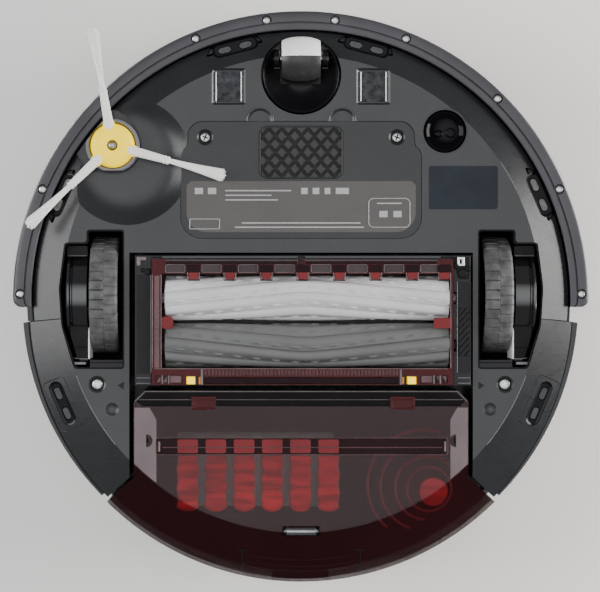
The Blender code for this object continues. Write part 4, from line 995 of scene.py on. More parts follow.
def build_bumper():
    o, top, low = shrunk(BUMPER_CIRCLE, 0.1), BUMPER_LIP_TOP, BUMPER_LIP_BOTTOM
    groove = shrunk(o, 7.3)
    outside = [
        (5.6, 15.0), (2.4, 15.0), (1.1, 15.5), (0.4, 16.6), (0.0, 18.2), (0.0, 50.0), (1.3, 50.0),
        (1.3, 66.0), (0.0, 66.0), (0.0, 79.5), (0.8, 81.2), (2.5, 82.0)
    ]
    section = [(shrunk(o, by), z, 1.0) for by, z in outside]
    section += [
        (top, 82.0, 0.0), (top, 79.5, 0.0), (shrunk(o, 4.0), 79.5, 1.0), (shrunk(o, 4.0), 18.6, 1.0),
        (low, 17.6, 0.0), (low, 15.5, 0.0), (shrunk(low, -0.5), 15.1, 0.0)
    ]
    inside = [(0.6, 15.1, 0.4), (0.3, 16.5, 0.4), (-0.3, 16.5, 0.5), (-0.6, 15.0, 0.5)]
    section += [(shrunk(groove, by), z, pull) for by, z, pull in inside]
    end = BUMPER_END_ANGLE
    cuts = []
    places = []
    for angle in BUMPER_SCREW_ANGLES:
        for side in (-1, 1):
            a = math.radians(-90 + side * angle)
            x, y = BUMPER_SCREW_R * math.cos(a), BUMPER_CIRCLE[0] + BUMPER_SCREW_R * math.sin(a)
            places.append((x, y))
            cuts.append(turned_z([(3.1, 10.0), (3.1, 15.2), (2.6, 16.6)], x, y, 32))
    mesh = bumper_rings(section, -180 - end, end, 180)
    piece("bumper_skin", mesh, BUMPER, "bumper", "bumper", cuts=cuts, bevel=0.25)
    for i, (x, y) in enumerate(places):
        screw(f"bumper_screw_{i}", x, y, 15.15, "bumper", (), 2.35)
    strip = [
        (shrunk(o, 1.0), 50.3, 1.0), (shrunk(o, 0.1), 50.3, 1.0), (shrunk(o, 0.1), 65.7, 1.0),
        (shrunk(o, 1.0), 65.7, 1.0)
    ]
    piece(
        "bumper_glass", bumper_rings(strip, -165, -15, 150, 0.01), GLOSS, "bumper", "bumper_window",
        bevel=0.15
    )


def build_upper():
    """The roof moulding, its sunk handle ring and the round faceplate with its keys."""
    wall_front, wall_rear = shrunk(BODY_FRONT, WALL), shrunk(SHELL_REAR, WALL)
    low = PARTING_Z + 0.5
    rear = shrunk(SHELL_RIM, -0.05)
    shell = loft(
        [
            body_ring(ROOF_Z - 3.5, wall_front, wall_rear), body_ring(low, wall_front, wall_rear),
            body_ring(low, BODY_FRONT, SHELL_RIM), body_ring(82.8, BODY_FRONT, SHELL_RIM),
            body_ring(83.2, ROOF_FRONT, rear), body_ring(85.2, ROOF_FRONT, rear),
            body_ring(86.6, shrunk(ROOF_FRONT, 0.6), shrunk(rear, 0.6)),
            body_ring(87.5, shrunk(ROOF_FRONT, 1.7), shrunk(rear, 1.7)),
            body_ring(87.9, shrunk(ROOF_FRONT, 3.4), shrunk(rear, 3.4)),
            body_ring(ROOF_Z, shrunk(ROOF_FRONT, 7.0), shrunk(rear, 7.0))
        ]
    )
    ring = turned_z(
        [(92.0, 81.0), (122.0, 81.0), (122.0, ROOF_Z - 1.5), (92.0, ROOF_Z - 1.5)], 0, 0, 160, True
    )
    groove = arc(0, 0, HANDLE_R1 + 0.9, 14, 166, 90) + arc(0, 0, HANDLE_R0 - 1.7, 166, 14, 90)
    cuts = [
        prism(bay_outline(2.9), low - 5, BAY_TOP_Z - 0.2), cylinder(FACE_R + 0.4, 86.8, 95.0, 0, 0, 200),
        cylinder(BUTTON_R + 2, 86.0, 95.0, 0, 0, 64), prism(groove, 83.2, 95.0),
        prism(rounded_rectangle(-24.0, 24.0, 103.0, 118.5, 5.0), 83.0, 95.0)
    ]
    for side in (-1, 1):
        cuts.append(cylinder(SMALL_BUTTON_R + 1.5, 86.0, 95.0, side * SMALL_BUTTON_X, 0, 40))
        cuts.append(turned_x([(1.7, side * 96.0), (1.7, side * 110.0)], HANDLE_Y, HANDLE_Z, 24))
    piece("roof_moulding", shell, GRAPHITE, "body", "top_shell", joins=[ring], cuts=cuts, bevel=0.35)
    # Painted shadow: a thin dark ring in the parting gap between chassis and shell.
    gap = [(-0.6, -0.02), (-2.4, -0.02), (-2.4, 0.3), (-0.6, 0.3)]
    line = loft(
        [body_ring(low + dz, shrunk(BODY_FRONT, by), shrunk(CHASSIS_REAR, by)) for by, dz in gap], True
    )
    piece("shell_parting_shadow_line", line, BLACK_MATT_AND_PAINTED_SHADE, "body", cuts=[prism(bay_outline(2.9), low - 5, BAY_TOP_Z)])
    plate = [(FACE_R, 87.1), (FACE_R, 89.2), (FACE_R - 0.4, 89.8), (FACE_R - 1.4, 90.15), (60.0, 90.2)]
    holes = [
        cylinder(BUTTON_R + 0.5, 80.0, 95.0, 0, 0, 96), cylinder(CAMERA_R + 0.4, 80.0, 95.0, 0, CAMERA_Y, 64),
        turned_z([(72.6, 90.0), (72.6, 91.0), (72.0, 91.0), (72.0, 90.0)], 0, 0, 160, True)
    ]
    for side in (-1, 1):
        holes.append(cylinder(SMALL_BUTTON_R + 0.4, 80.0, 95.0, side * SMALL_BUTTON_X, 0, 40))
    piece("face_disc", turned_z(plate, 0, 0, 200), BLACK, "body", "faceplate", cuts=holes, bevel=0.2)
    eye = [
        (CAMERA_R, 87.1), (CAMERA_R, 90.2), (CAMERA_R - 1.0, 90.8), (CAMERA_R - 2.4, 90.9), (5.0, 90.4),
        (3.6, 91.0), (1.0, 91.2)
    ]
    piece("camera_eye", turned_z(eye, 0, CAMERA_Y, 64), GLOSS, "body", "camera_lens", bevel=0.1)
    dome = [
        (RECEIVER_R, ROOF_Z + 0.35), (RECEIVER_R, 89.6), (RECEIVER_R - 0.7, 90.6), (RECEIVER_R - 2.4, 91.2),
        (2.0, 91.4)
    ]
    piece("receiver_dome", turned_z(dome, 0, RECEIVER_Y, 64), GLOSS, "body", "ir_receiver", bevel=0.1)
    key = [
        (BUTTON_R, 87.2), (BUTTON_R, 90.0), (BUTTON_R - 0.5, 90.6), (BUTTON_R - 1.6, 90.8), (18.0, 90.5),
        (4.0, 90.3)
    ]
    piece("main_key", turned_z(key, 0, 0, 96), SATIN, "clean_key", "clean_button", bevel=0.1)
    halo = [(20.2, 90.2), (20.8, 90.75), (21.4, 90.2), (20.8, 90.0)]
    piece("main_key_ring", turned_z(halo, 0, 0, 96, True), BLACK, "clean_key")
    for name, node, body, x in (
        ("dock_key", "home_button", "home_key", -SMALL_BUTTON_X),
        ("spot_dot_key", "spot_button", "spot_key", SMALL_BUTTON_X)
    ):
        cap = [
            (SMALL_BUTTON_R, 87.2), (SMALL_BUTTON_R, 90.1), (SMALL_BUTTON_R - 0.5, 90.6), (4.2, 90.5),
            (2.4, 90.2), (0.8, 90.1)
        ]
        piece(name, turned_z(cap, x, 0, 48), GREY_AND_PAINTED_HIGHLIGHT, body, node, bevel=0.1)
    a0, a1 = HANDLE_ANGLE + 0.6, 180 - HANDLE_ANGLE - 0.6
    outline = arc(0, 0, HANDLE_R1, a0, a1, 96) + arc(0, 0, HANDLE_R0, a1, a0, 96)
    hubs = []
    for side in (-1, 1):
        hubs.append(turned_x([(2.3, side * 95.6), (2.3, side * 103.2)], HANDLE_Y, HANDLE_Z, 32))
        hubs.append(turned_x([(1.2, side * 102.0), (1.2, side * 107.5)], HANDLE_Y, HANDLE_Z, 20))
    grip = [
        prism(arc(0, 0, HANDLE_R1 - 2.2, 78, 102, 24) + arc(0, 0, HANDLE_R0 + 2.2, 102, 78, 24), 87.6, 95.0)
    ]
    piece(
        "handle_bar", prism(outline, 84.4, 88.2), BUMPER, "handle", "carry_handle", joins=hubs, cuts=grip,
        bevel=0.6, sharp=30.0, segments=3
    )


# ---------------------------------------------------------------- side brush and caster


def build_side_brush():
    hub = [
        (4.2, 7.0), (6.2, 6.6), (9.6, 6.9), (12.0, 8.0), (13.1, 9.4), (BRUSH_R, 11.0), (BRUSH_R, 12.6),
        (7.0, 14.6), (7.0, 20.6)
    ]
    sockets = [turned_z([(3.5, 0.0), (3.5, 7.6), (3.0, 8.4)], BRUSH_X, BRUSH_Y, 40)]
    collars = []
    for angle in BRUSH_ANGLES:
        collars.append(
            radial_bar(angle, [(6.5, 3.9, 6.2, 10.6), (12.6, 3.9, 6.6, 10.6), (15.2, 3.2, 7.6, 10.2)], 8)
        )
    piece(
        "brush_hub_cap", turned_z(hub, BRUSH_X, BRUSH_Y, 96), YELLOW_PAINTED_GLOW, "side_brush", "brush_hub",
        joins=collars, cuts=sockets, bevel=0.35, sharp=28.0, segments=3
    )
    screw("brush_centre_screw", BRUSH_X, BRUSH_Y, 7.0, "side_brush", "brush_screw", 2.4, SPRING)
    # Painted shade: a dark disc in the recess round the brush screw.
    piece("brush_screw_well_shade", cylinder(3.4, 8.2, 8.6, BRUSH_X, BRUSH_Y, 40), BLACK_MATT_AND_PAINTED_SHADE, "side_brush")
    for i, angle in enumerate(BRUSH_ANGLES):
        build_arm(i + 1, angle)
    flat = block(BRUSH_X - 20, BRUSH_X + 20, BRUSH_Y + 15.1, BRUSH_Y + 20, 5.0, 20.0)
    collar = [(14.1, 19.0), (14.1, 10.0), (14.6, 9.5), (15.8, 9.5), (16.3, 10.2), (16.3, 19.0)]
    piece(
        "brush_collar", turned_z(collar, BRUSH_X, BRUSH_Y, 96, True), GREY_AND_PAINTED_HIGHLIGHT, "body", cuts=[flat],
        limit=cylinder(161.6, 0.0, 30.0, 0, BODY_FRONT[0], 200), bevel=0.15
    )


def radial_bar(angle, stations, sides=4):
    """A bar running out from the brush axis; stations are (distance, half width, low z, high z)."""
    rings = []
    for distance, half, low, high in stations:
        ring = []
        for k in range(sides):
            a = 2 * math.pi * (k + 0.5) / sides
            c, s = math.cos(a), math.sin(a)
            power = 0.6
            across = half * math.copysign(abs(c) ** power, c)
            z = (low + high) / 2 + (high - low) / 2 * math.copysign(abs(s) ** power, s)
            x, y = turned([(distance, across)], angle, BRUSH_X, BRUSH_Y)[0]
            ring.append((x, y, z))
        rings.append(ring)
    return loft(rings)


def build_arm(index, angle):
    """A rubber sleeve with moulded rings, and a flat fan of nylon bristles."""
    stations = []
    for i in range(29):
        t = i / 28
        distance = 8.0 + (SLEEVE_REACH - 8.0) * t
        half = 3.1 - 0.8 * t
        low, high = 6.6 - 2.0 * t, 9.9 - 2.0 * t
        if distance > 31.0:
            swell = 0.28 if i % 2 else -0.12
            half, low, high = half + swell, low - swell, high + swell
        stations.append((distance, half, low, high))
    piece(
        f"brush_sleeve_{index}", radial_bar(angle, stations, 12), IVORY_PAINTED_GLOW, "side_brush", f"brush_arm_{index}",
        sharp=40.0
    )
    rng = random.Random(40 + index)
    fibres = []
    for k in range(110):
        u = rng.uniform(-1, 1)
        v = rng.uniform(-1, 1)
        reach = BRUSH_REACH - rng.uniform(0.0, 2.6) - 1.4 * abs(u)
        bend = rng.uniform(-1.2, 1.2)
        path = []
        for i in range(6):
            t = i / 5
            distance = SLEEVE_REACH - 2.0 + (reach - SLEEVE_REACH + 2.0) * t
            across = u * (1.3 + 2.0 * t**1.3) + bend * t * t * 0.6
            z = 6.2 - 3.2 * t + v * (0.9 + 0.25 * t)
            x, y = turned([(distance, across)], angle, BRUSH_X, BRUSH_Y)[0]
            path.append((x, y, max(0.9, z)))
        fibres.append(tube(path, 0.17, 4))
    piece(f"brush_bristles_{index}", merged(fibres), BRISTLE_PAINTED_GLOW, "side_brush", sharp=80.0)


def build_caster():
    turret = [(TURRET_R - 0.2, 12.4), (TURRET_R, 13.0), (TURRET_R, 28.2), (4.0, 28.2), (4.0, 35.0)]
    rim = [
        (8.0, 20.5), (13.0, 19.4), (17.5, 16.4), (20.6, 13.6), (22.0, 11.8), (22.8, 11.3),
        (TURRET_R - 0.2, 11.8)
    ]
    joins = []
    for side in (-1, 1):
        x0, x1 = sorted((side * 12.7, side * 16.6))  # the ear's inner and outer face
        ear = [(4.4, x0), (5.2, x0 + 0.5), (5.2, x1 - 0.7), (4.3, x1)]
        joins.append(turned_x(ear, CASTER_Y, CASTER_R, 40))
        joins.append(block(x0 + 0.3, x1 - 0.3, CASTER_Y - 3.6, CASTER_Y + 6.0, CASTER_R + 0.6, 24.0))
    half = CASTER_HALF_W + 0.9
    cuts = [
        prism(filleted(rectangle(-half, half, CASTER_Y - 40, CASTER_Y + CASTER_R + 1.2), 2.0), 0.0, 27.3),
        block(-half - 3.9, half + 3.9, CASTER_Y - 40, CASTER_Y - 5.6, 0.0, 23.0),
        turned_x([(1.9, -17.2), (1.9, 17.2)], CASTER_Y, CASTER_R, 24)
    ]
    piece(
        "caster_turret_moulding", turned_z(rim + turret, 0, SWIVEL_Y, 128), BLACK, "caster_fork",
        "caster_turret", joins=joins, cuts=cuts, bevel=0.35, sharp=28.0
    )
    barrel = []
    for i in range(13):
        t = -1 + i / 6
        barrel.append((CASTER_R - 2.4 * abs(t) ** 2.6, t * CASTER_HALF_W))
    bore = [(6.6, CASTER_HALF_W), (6.2, CASTER_HALF_W - 1.2), (1.9, CASTER_HALF_W - 1.2)]
    bore += [(1.9, 1.2 - CASTER_HALF_W), (6.2, 1.2 - CASTER_HALF_W), (6.6, -CASTER_HALF_W)]
    made, tree, shader, where = new_material("two_tone_wheel_painted_glow")
    wobble = maths(tree, "MULTIPLY", maths(tree, "SUBTRACT", noise(tree, where, 300.0), 0.5), 0.0004)
    side = maths(
        tree, "GREATER_THAN", maths(tree, "ADD", coordinate(tree, where, "Y"), wobble), (CASTER_Y - 0.6) * MM
    )
    grime = spread(tree, noise(tree, where, 240.0, 5.0, 0.7), 0.0, 0.35, 0.5, 0.75)
    pale = blend_colours(tree, grime, (0.92, 0.92, 0.9), (0.6, 0.58, 0.55))
    dark = blend_colours(tree, grime, (0.025, 0.025, 0.025), (0.09, 0.085, 0.085))
    two_tone = blend_colours(tree, side, pale, dark)
    # Painted glow: the two tones also light themselves, so the caster wheel looks bright in the shade under
    # the body.
    colour_and_glow(tree, shader, two_tone, 0.32)
    tree.links.new(spread(tree, noise(tree, where, 150.0), 0.25, 0.45), shader.inputs["Roughness"])
    bump(tree, shader, noise(tree, where, 1400.0), 0.1, 0.0001)
    piece(
        "caster_barrel", turned_x(barrel + bore, CASTER_Y, CASTER_R, 96, True), made, "caster_roller",
        "caster_wheel", bevel=0.2
    )
    piece(
        "caster_pin",
        turned_x([(1.1, -16.4), (1.5, -16.0), (1.5, 16.0), (1.1, 16.4)], CASTER_Y, CASTER_R, 24), STEEL,
        "caster_fork", "caster_axle"
    )


# ---------------------------------------------------------------- drive modules


def tyre_mesh(side):
    """A tyre with two staggered rows of square tread blocks."""
    blocks, per = 38, 12
    around = blocks * per
    x_mid = side * WHEEL_X
    stations = [-1.0, -0.97, -0.9, -0.8, -0.5, -0.3, -0.06, -0.03, 0.03, 0.06, 0.3, 0.5, 0.8, 0.9, 0.97, 1.0]
    rings = []

    def radius(u, k):
        edge = max(0.0, abs(u) - 0.8) / 0.2
        phase = (k / per + (0.45 if u > 0 else 0.0)) % 1.0
        groove = max(0.0, 1.0 - abs(phase - 0.5) / 0.06)
        seam = max(0.0, 1.0 - abs(u) / 0.05)
        tilt = 0.22 * (phase if phase < 0.5 else phase - 1.0)
        return WHEEL_R - 0.25 - 1.7 * edge**1.6 - 0.9 * max(groove, 0.6 * seam) + tilt

    for u in stations:
        x = x_mid + u * WHEEL_W / 2
        ring = []
        for k in range(around):
            a = 2 * math.pi * k / around
            r = radius(u, k)
            ring.append((x, WHEEL_Y + r * math.sin(a), WHEEL_R - r * math.cos(a)))
        rings.append(ring)
    for u in (1.0, -1.0):
        x = x_mid + u * WHEEL_W / 2
        seat = circle(0, 0, RIM_R + 0.35, around, -90)
        rings.append([(x, WHEEL_Y + y, WHEEL_R + z) for y, z in seat])
    return loft(rings, True)


def build_drive(name, side):
    """A drive module: gear case, white guard, rim and tyre, and the fixed shelf behind the wheel."""
    arm, wheel = f"drive_arm_{name}", f"drive_wheel_{name}"
    x0, x1 = WHEEL_X - WHEEL_W / 2, WHEEL_X + WHEEL_W / 2
    inner, outer = x1 + 1.6, 142.2

    def sx(points):
        return [(r, side * x) for r, x in points]

    drum = [
        (25.0, inner), (28.0, inner + 0.3), (28.0, 138.6), (27.0, 139.2), (27.0, 140.0), (29.4, 140.6),
        (29.4, 141.8), (28.2, outer + 0.3)
    ]
    lower = filleted([(inner, 12.0), (141.6, 12.0), (140.2, 24.0), (136.2, 37.6), (inner, 37.6)], 1.2)
    front = filleted([(inner + 0.2, -31.0), (142.2, -31.0), (142.8, -24.0), (inner + 0.2, -24.0)], 1.2)
    if side < 0:
        lower, front = mirrored(lower), mirrored(front)
    joins = [
        side_block(side, inner + 0.3, inner + 5.5, 34.0, PIVOT_Y + 0.5, PIVOT_Z - 2.0, 60.0),
        turned_x(sx([(4.9, inner + 0.3), (4.9, inner + 5.5)]), PIVOT_Y, PIVOT_Z, 40),
        turned_x(sx([(1.8, x1 + 0.6), (1.8, 141.0)]), PIVOT_Y, PIVOT_Z, 24),
        turned_x(sx([(3.0, x0 + 0.4), (3.0, inner + 3)]), WHEEL_Y, WHEEL_R, 32)
    ]
    ribs = [side_block(side, inner + 0.6, 139.0, y - 0.3, y + 0.3, 14.7, 16.0) for y in (18.0, 31.0)]
    piece(
        f"gear_case_{name}", turned_x(sx(drum), WHEEL_Y, WHEEL_R, 160), GEAR, arm, f"wheel_arm_{name}",
        joins=joins, bevel=0.3, sharp=28.0
    )
    piece(
        f"gear_case_tail_{name}", merged([prism(lower, 15.2, 26.0), prism(front, 17.0, 24.0)]), BLACK_MATT_AND_PAINTED_SHADE, arm,
        joins=ribs, bevel=0.4
    )
    # Painted highlight: a pale line along the gear case's front edge.
    trim = tube([(side * (inner + 0.6), -24.9, 16.8), (side * 141.8, -24.9, 16.8)], 0.32, 8)
    piece(f"gear_case_highlight_line_{name}", trim, PALE_EDGE_AND_HIGHLIGHT, arm)
    a, b = sorted((side * (x1 + 0.45), side * (x1 + 1.1)))
    fin = [(a, 19.0), (b, 19.0), (b, 37.9), (a, 37.9)]
    guard = prism(fin, 12.6, 40.0)
    slope = [
        (side * (x1 - 3), 12.0, 6.0), (side * (x1 - 3), 20.5, 6.0), (side * (x1 - 3), 20.5, 13.4),
        (side * (x1 - 3), 12.0, 26.0)
    ]
    nose = loft([slope, [(side * (x1 + 4), y, z) for _, y, z in slope]])
    piece(f"white_guard_{name}", guard, WHITE_PAINTED_GLOW, arm, cuts=[nose], bevel=0.15)
    rim = [
        (RIM_R, x1), (RIM_R, x0), (29.0, x0 - 0.02), (28.2, x0 + 1.0), (9.0, x0 + 1.0), (8.0, x0), (3.4, x0),
        (3.4, x0 + 4.4), (7.0, x0 + 4.4), (7.0, x0 + 2.4), (26.0, x0 + 2.4), (26.0, x1)
    ]
    piece(
        f"rim_{name}", turned_x(sx(rim), WHEEL_Y, WHEEL_R, 96, True), BLACK, wheel, f"wheel_{name}", bevel=0.2
    )
    piece(f"tread_{name}", tyre_mesh(side), TYRE, wheel, f"tyre_{name}", sharp=35.0)
    shelf = [
        side_block(side, 108.2, x1 + 0.2, 38.4, 43.4, 13.4, 16.5),
        side_block(side, 108.2, x1 + 0.2, 39.8, 40.5, 12.5, 13.5)
    ]
    piece(f"well_shelf_{name}", merged(shelf), BLACK, "body", bevel=0.3)
    # The bar's grey is a painted highlight on the well's rear lip.
    bar = tube([(side * (inner + 1.0), 40.6, 13.2), (side * 138.4, 40.6, 13.2)], 0.9, 10)
    piece(f"well_lip_highlight_{name}", bar, GREY_AND_PAINTED_HIGHLIGHT, "body")
    repaint(f"wheel_motor_{name}", STEEL)
    repaint(f"suspension_spring_{name}", SPRING)


# ---------------------------------------------------------------- cleaning head


def roller_skin(y, lean, x_apex=2.5):
    """A rubber roller: low wide flutes that lean one way to the middle and back, with rows of short nubs."""
    flutes, per, stations = 8, 22, 132
    count = flutes * per
    twist = 50.0 * lean
    rings = []

    def ring(x, radius_at):
        turn = twist * math.hypot(x - x_apex, 6.0) / 86.0
        points = []
        for k in range(count):
            a = math.radians(360 * k / count + turn)
            r = radius_at(k, x)
            points.append((x, y + r * math.sin(a), ROLLER_Z + r * math.cos(a)))
        return points

    def skin(k, x):
        phase = (k / per) % 1.0
        wave = ROLLER_R - 1.3 + 0.75 * math.cos(2 * math.pi * (phase - 0.12))
        crease = 1.2 * math.exp(-(((phase - 0.5) / 0.045) ** 2))
        row = math.exp(-(((phase - 0.77) / 0.05) ** 6))
        where = (abs(x - x_apex) / 11.7) % 1.0
        dash = min(1.0, max(0.0, (0.24 - abs(where - 0.5)) / 0.06))
        return min(ROLLER_R, wave - crease + 0.9 * row * dash)

    rings.append(ring(ROLLER_X0 - 6.0, lambda k, x: 3.0))
    rings.append(ring(ROLLER_X0 - 0.6, lambda k, x: 3.0))
    rings.append(ring(ROLLER_X0 - 0.5, lambda k, x: ROLLER_R - 2.4))
    for i in range(stations + 1):
        x = ROLLER_X0 + (ROLLER_X1 - ROLLER_X0) * i / stations
        rings.append(ring(x, skin))
    rings.append(ring(ROLLER_X1 + 0.5, lambda k, x: ROLLER_R - 2.4))
    rings.append(ring(ROLLER_X1 + 0.6, lambda k, x: 3.0))
    rings.append(ring(ROLLER_X1 + 5.0, lambda k, x: 3.0))
    return loft(rings)


def build_head():
    cuts = [
        block(FRAME_X0 - 0.4, FRAME_X1 + 0.4, FRAME_Y0 - 1.3, 60.0, 0.0, FRAME_TOP_Z + 0.5),
        block(-85.0, 91.2, -17.0, 47.0, 5.0, 32.0), block(-70.0, 70.0, 34.0, 60.0, 28.0, 46.0),
        block(-1.8, 1.8, -30.0, -20.0, 3.0, 9.0)
    ]
    for y in (FRONT_ROLLER_Y, REAR_ROLLER_Y):
        cuts.append(block(-89.5, -84.0, y - 3.6, y + 3.6, 5.0, ROLLER_Z + 3.7))
        cuts.append(block(90.0, 95.4, y - 3.6, y + 3.6, 5.0, ROLLER_Z + 3.7))
    for side in (-1, 1):
        cuts.append(block(side * TAB_X - 6, side * TAB_X + 6, 48.0, 56.0, 5.0, 13.5))
    deck = block(-100.5, 102.5, -24.8, 53.8, 6.8, 34.0)
    back = block(-98.0, 100.0, 9.0, 53.4, 30.0, 50.0)
    piece("deck_moulding", deck, BLACK, "cleaning_head", "head_deck", joins=[back], cuts=cuts, bevel=0.4)
    strips = [block(-84.0, -2.4, -24.6, -23.0, 5.4, 6.7), block(2.4, 84.0, -24.6, -23.0, 5.4, 6.7)]
    piece("deck_front_strip", merged(strips), GRAPHITE, "cleaning_head", bevel=0.15)

    def woven(x, y):
        return 5.7 + 0.14 * math.sin(x * 4.6) * math.sin(y * 4.6)

    panel = relief(-99.4, -91.0, -13.0, 46.4, 6.75, woven, 30, 220)
    piece("side_panel_left", panel, PANEL, "cleaning_head", sharp=60.0)

    def ribbed(x, y):
        phase = ((y + 1.11 * (x - 92)) / 3.9) % 1.0
        groove = min(1.0, max(0.0, (0.5 - abs(phase - 0.5) - 0.1) / 0.12))
        inside = 1.0 if 7.0 < y < 36.0 and abs(x - 98.6) < 3.4 else 0.0
        return 5.9 - 0.6 * groove * inside

    panel = relief(94.4, 102.6, -9.0, 46.4, 6.75, ribbed, 36, 320)
    piece("side_panel_right", panel, PANEL, "cleaning_head", sharp=45.0)
    # Painted highlight: pale lines along the deck's edges.
    rails = [
        tube([(x, y0, 5.6), (x, y1, 5.6)], 0.24, 8)
        for x, y0, y1 in ((94.2, -9.0, 46.0), (-90.8, -13.0, 46.0))
    ]
    rails += [tube([(-99.6, y, 6.0), (-91.2, y, 6.0)], 0.3, 8) for y in (49.2, 52.4)]
    rails += [tube([(94.6, y, 6.0), (102.0, y, 6.0)], 0.3, 8) for y in (49.2, 52.4)]
    piece("deck_highlight_lines", merged(rails), GREY_AND_PAINTED_HIGHLIGHT, "cleaning_head")
    knobs = []
    for x, y, r in (
        (-92.8, -15.0, 2.1), (-96.0, -15.8, 1.3), (97.4, -14.0, 2.8), (93.6, -18.5, 1.8), (101.0, -16.5, 1.5)
    ):
        knobs.append(turned_z([(r - 0.5, 4.8), (r, 5.3), (r, 6.9)], x, y, 32))
    knobs.append(
        prism(filleted([(91.4, -23.8), (101.6, -23.8), (101.6, -10.4), (95.0, -10.4)], 1.6), 5.9, 6.9)
    )
    piece("head_bosses", merged(knobs), BLACK_MATT_AND_PAINTED_SHADE, "cleaning_head", bevel=0.2)
    plug = block(94.2, 98.6, -23.9, -18.4, 4.9, 6.9)
    piece(
        "head_connector", plug, STEEL, "cleaning_head", cuts=[block(95.4, 97.4, -22.4, -19.8, 4.0, 5.9)],
        bevel=0.3
    )
    clip = prism(
        filleted(
            [(-99.4, -24.0), (-93.6, -24.0), (-93.6, -21.8), (-97.2, -21.8), (-97.2, -18.6), (-99.4, -18.6)],
            0.5
        ),
        5.0, 6.9
    )
    piece("head_wire_clip", clip, PALE_EDGE_AND_HIGHLIGHT, "cleaning_head", bevel=0.3)
    repaint("head_motor", STEEL)
    piece(
        "front_roller_skin", roller_skin(FRONT_ROLLER_Y, -1.0), ROLLER_LIGHT, "roller_front", "front_roller",
        sharp=60.0
    )
    piece(
        "rear_roller_skin", roller_skin(REAR_ROLLER_Y, 1.0), ROLLER_DARK, "roller_rear", "rear_roller",
        sharp=60.0
    )
    build_frame()


